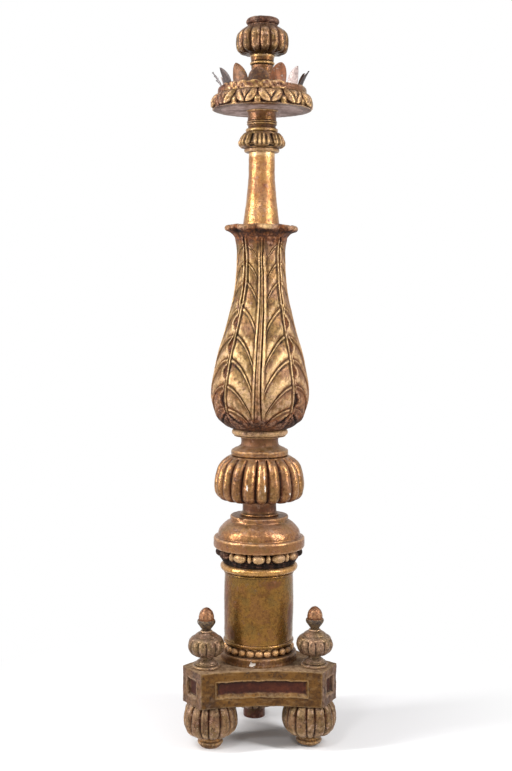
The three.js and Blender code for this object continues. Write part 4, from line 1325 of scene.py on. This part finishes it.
def underMaterial():
    material, shader, point = newMaterial("panUnderside")
    m = marks(point)
    smudge = weighed(m, cloud=0.6, rub=0.4).step(0.46, 0.58)
    paint = m["rub"].step(0.35, 0.7).blend("a89089", "7f645a").coated((smudge * 0.75, "604639"))
    feed(shader, colour=paint, metallic=0.0, roughness=0.7, normal=m["rub"].bumped(0.5))
    return material


tin = {
    "circle": 92.2, "foot": 1525.4, "thickness": 0.9, "pitch": 27.69, "first": -9.0,
    # width, height, lean outwards at the tip, sideways twist of the tip, point (1 sharp, 0 round), finish
    "leaves": [
        (52, 46, 7, 0, 0.05, "gilt"), (42, 57, 11, 3, 0.1, "patched"), (37, 54, 12, 0, 0.55, "bare"),
        (26, 52, 17, 6, 0.8, "dark"), (38, 54, 10, -3, 0.4, "gilt"), (40, 50, 12, 0, 0.3, "dark"),
        (38, 52, 14, 3, 0.5, "gilt"), (36, 50, 9, 0, 0.4, "dark"), (40, 55, 11, -4, 0.3, "gilt"),
        (37, 48, 15, 5, 0.6, "bare"), (30, 50, 20, 0, 0.9, "torn"), (38, 53, 15, -7, 0.6, "dark"),
        (42, 58, 7, -7, 0.45, "gilt"),
    ],
    # the strips of the torn leaf: place across, length, lean
    "strips": [(-11, 44, 20), (-3, 36, 13), (4, 49, 24), (11, 30, 15)],
    # main colour, second colour, rust, metallic, roughness
    "looks": {
        "gilt": ("6b4528", "3c2516", "8f6637", 0.5, 0.34),
        "patched": ("7f4b2b", "5c3823", "a08e84", 0.45, 0.36),
        "bare": ("cdb8b1", "8d7d7a", "a88b82", 0.55, 0.3),
        "dark": ("453936", "2b2120", "5d4033", 0.5, 0.38),
        "torn": ("57504f", "8a8282", "4a3935", 0.5, 0.38),
    },
}


def tinSheet(width, height, lean, twist, point, draw, middle=0.0):
    # one tongue of sheet, bent round the pan; middle is its place across, in mm
    bm = bmesh.new()
    bmesh.ops.create_grid(bm, x_segments=18, y_segments=30, size=0.5)
    swing = draw.uniform(-1, 1)
    for vert in bm.verts:
        across, up = vert.co.x, vert.co.y + 0.5
        spread = 0.84 + 0.16 * ramp(0, 0.3, up)
        top = max(0.0, 1 - ((up - 0.35) / 0.66) ** 2) if up > 0.35 else 1.0
        spread = spread * top ** (0.5 + 0.45 * point)
        side = middle + across * width * spread + twist * up ** 2
        bow = 2.2 * (1 - (2 * across) ** 2) * up
        dent = 1.1 * sin(6 * up + swing * 3) * (across + 0.3) + 0.8 * sin(11 * across + 7 * up)
        away = tin["circle"] + lean * up ** 2 + bow - 1.5 + dent * up
        turn = side / tin["circle"]
        vert.co = (away * sin(turn), -away * cos(turn), tin["foot"] + up * height)
    return bm


def makeTinLeaves():
    for i, (width, height, lean, twist, point, finish) in enumerate(tin["leaves"]):
        draw = random.Random(200 + i)
        if finish == "torn":
            bm = tinSheet(width, height * 0.35, lean * 0.15, 0, 0.0, draw)
            for place, reach, bend in tin["strips"]:
                join(bm, tinSheet(5.5, reach, bend, draw.uniform(-5, 5), 1.0, draw, place))
        else:
            bm = tinSheet(width, height, lean, twist, point, draw)
        bmesh.ops.remove_doubles(bm, verts=bm.verts, dist=0.02)
        bmesh.ops.solidify(bm, geom=bm.faces[:], thickness=tin["thickness"])
        bmesh.ops.recalc_face_normals(bm, faces=bm.faces)
        finishPiece(bm, f"tinLeaf.{i + 1:02d}", f"{finish}Tin", f"tin_leaf_{i + 1:02d}",
                    turn=tin["first"] + tin["pitch"] * i, sharp=40, crust=0.0)


def tinMaterial(name, first, second, rust, shine, rough):
    material, shader, point = newMaterial(name)
    m = marks(point, 0.5)
    paint = weighed(m, rub=0.6, broad=0.4).step(0.42, 0.6).blend(first, second).coated(
        (weighed(m, fine=0.4, rub=0.6).step(0.55, 0.64), rust),
        (m["fine"].step(0.6, 0.72) * 0.6, "2c211c"),
    )
    feed(shader, colour=paint, metallic=shine * (1 - m["cloud"].step(0.45, 0.6) * 0.5),
         roughness=m["rub"] * 0.3 + rough, normal=(m["rub"] + m["fine"] * 0.3).bumped(0.5))
    return material


# ---- nozzle ----

nozzle = {
    "stem": [(40, 1525.4), (40.5, 1528), (39, 1531), (35, 1534), (29, 1541), (26, 1551), (25, 1565),
             (25.2, 1580), (26, 1590)],
    "band": (28.8, 1592, 1600),
    "neck": [(26.6, 1602), (27, 1607), (28.5, 1613.8)],
    "bulb": [(30, 1614.4), (33, 1617), (42, 1617.8), (50, 1619), (56, 1622.5), (59.8, 1629), (61.4, 1638),
             (61.3, 1648), (59.6, 1659), (54.5, 1667.5), (46, 1674), (38.5, 1678.5)],
    "rim": [(35, 1680.5), (34.8, 1683), *halfRound(38.4, 1684, 1699, 10)],
    "socket": [(30, 1699.7), (22.5, 1698), (21, 1694), (21, 1643), (19, 1642)],
    "socketRadius": 21.0,
    "lobes": 15,
    "depth": 7.0,
    "first": -9.4,
}


def nozzleForm(azimuth, radius, height):
    across, _ = lobeAt(azimuth, evenGrooves(nozzle["lobes"], nozzle["first"], 131, 0.05))
    crown = crownOf(across, 0.8)
    fade = ramp(32, 48, radius) * ramp(1681, 1670, height)
    ends = 4.0 * across ** 2 * ramp(1634, 1619, height) * ramp(36, 50, radius)
    cut = nozzle["depth"] * fade * (1 - crown)
    uneven = 0.5 * wobble(azimuth, height, 133, 50) * ramp(25, 34, radius)
    bare = 1.3 * ramp(1680, 1685, height) + (radius < nozzle["socketRadius"] + 1)
    # painted shade: the grooves between the lobes are darkened
    bare = bare + 1.6 * ramp(0.78, 0.98, np.abs(across)) * fade
    return azimuth, radius - cut + uneven, height + ends, bare


def makeNozzle():
    stem = [*curve(nozzle["stem"], 4), *halfRound(*nozzle["band"], 6), *nozzle["neck"]]
    stem = lathe(stem, sides=112, form=swayed(0.4, 121, 50))
    finishPiece(stem, "nozzleStem", "stem", "nozzle_stem")
    body = [*curve(nozzle["bulb"], 5), *nozzle["rim"], *nozzle["socket"]]
    body = lathe(body, sides=336, pitch=1.6, form=nozzleForm)
    finishPiece(body, "candleNozzle", "nozzle", "candle_nozzle")


# ---- the scene ----

def makeFinishes():
    made = {key: gilding(f"{key}Gilding", {**oldGold, **tone}) for key, tone in tones.items()}
    made.update(plinth=plinthMaterial(), iron=ironMaterial(), acorn=acornMaterial(), underPan=underMaterial())
    for key, look in tin["looks"].items():
        made[f"{key}Tin"] = tinMaterial(f"{key}Tin", *look)
    return made


makeCamera()
makeWorld()
for side in ("left", "right", "front"):
    makeLamp(f"{side}Lamp", light[side])
makeFloor()
print("studio made")

finishes = makeFinishes()
print("finishes made")

makePlinth()
makeFeet()
print("base and feet made")
makeFinials()
makeColumn()
makeKnop()
print("column made")
makeBaluster()
makeNeck()
print("baluster made")
makePan()
makeTinLeaves()
makeNozzle()
print("pan and nozzle made")

bpy.context.scene.view_settings.view_transform = "Standard"
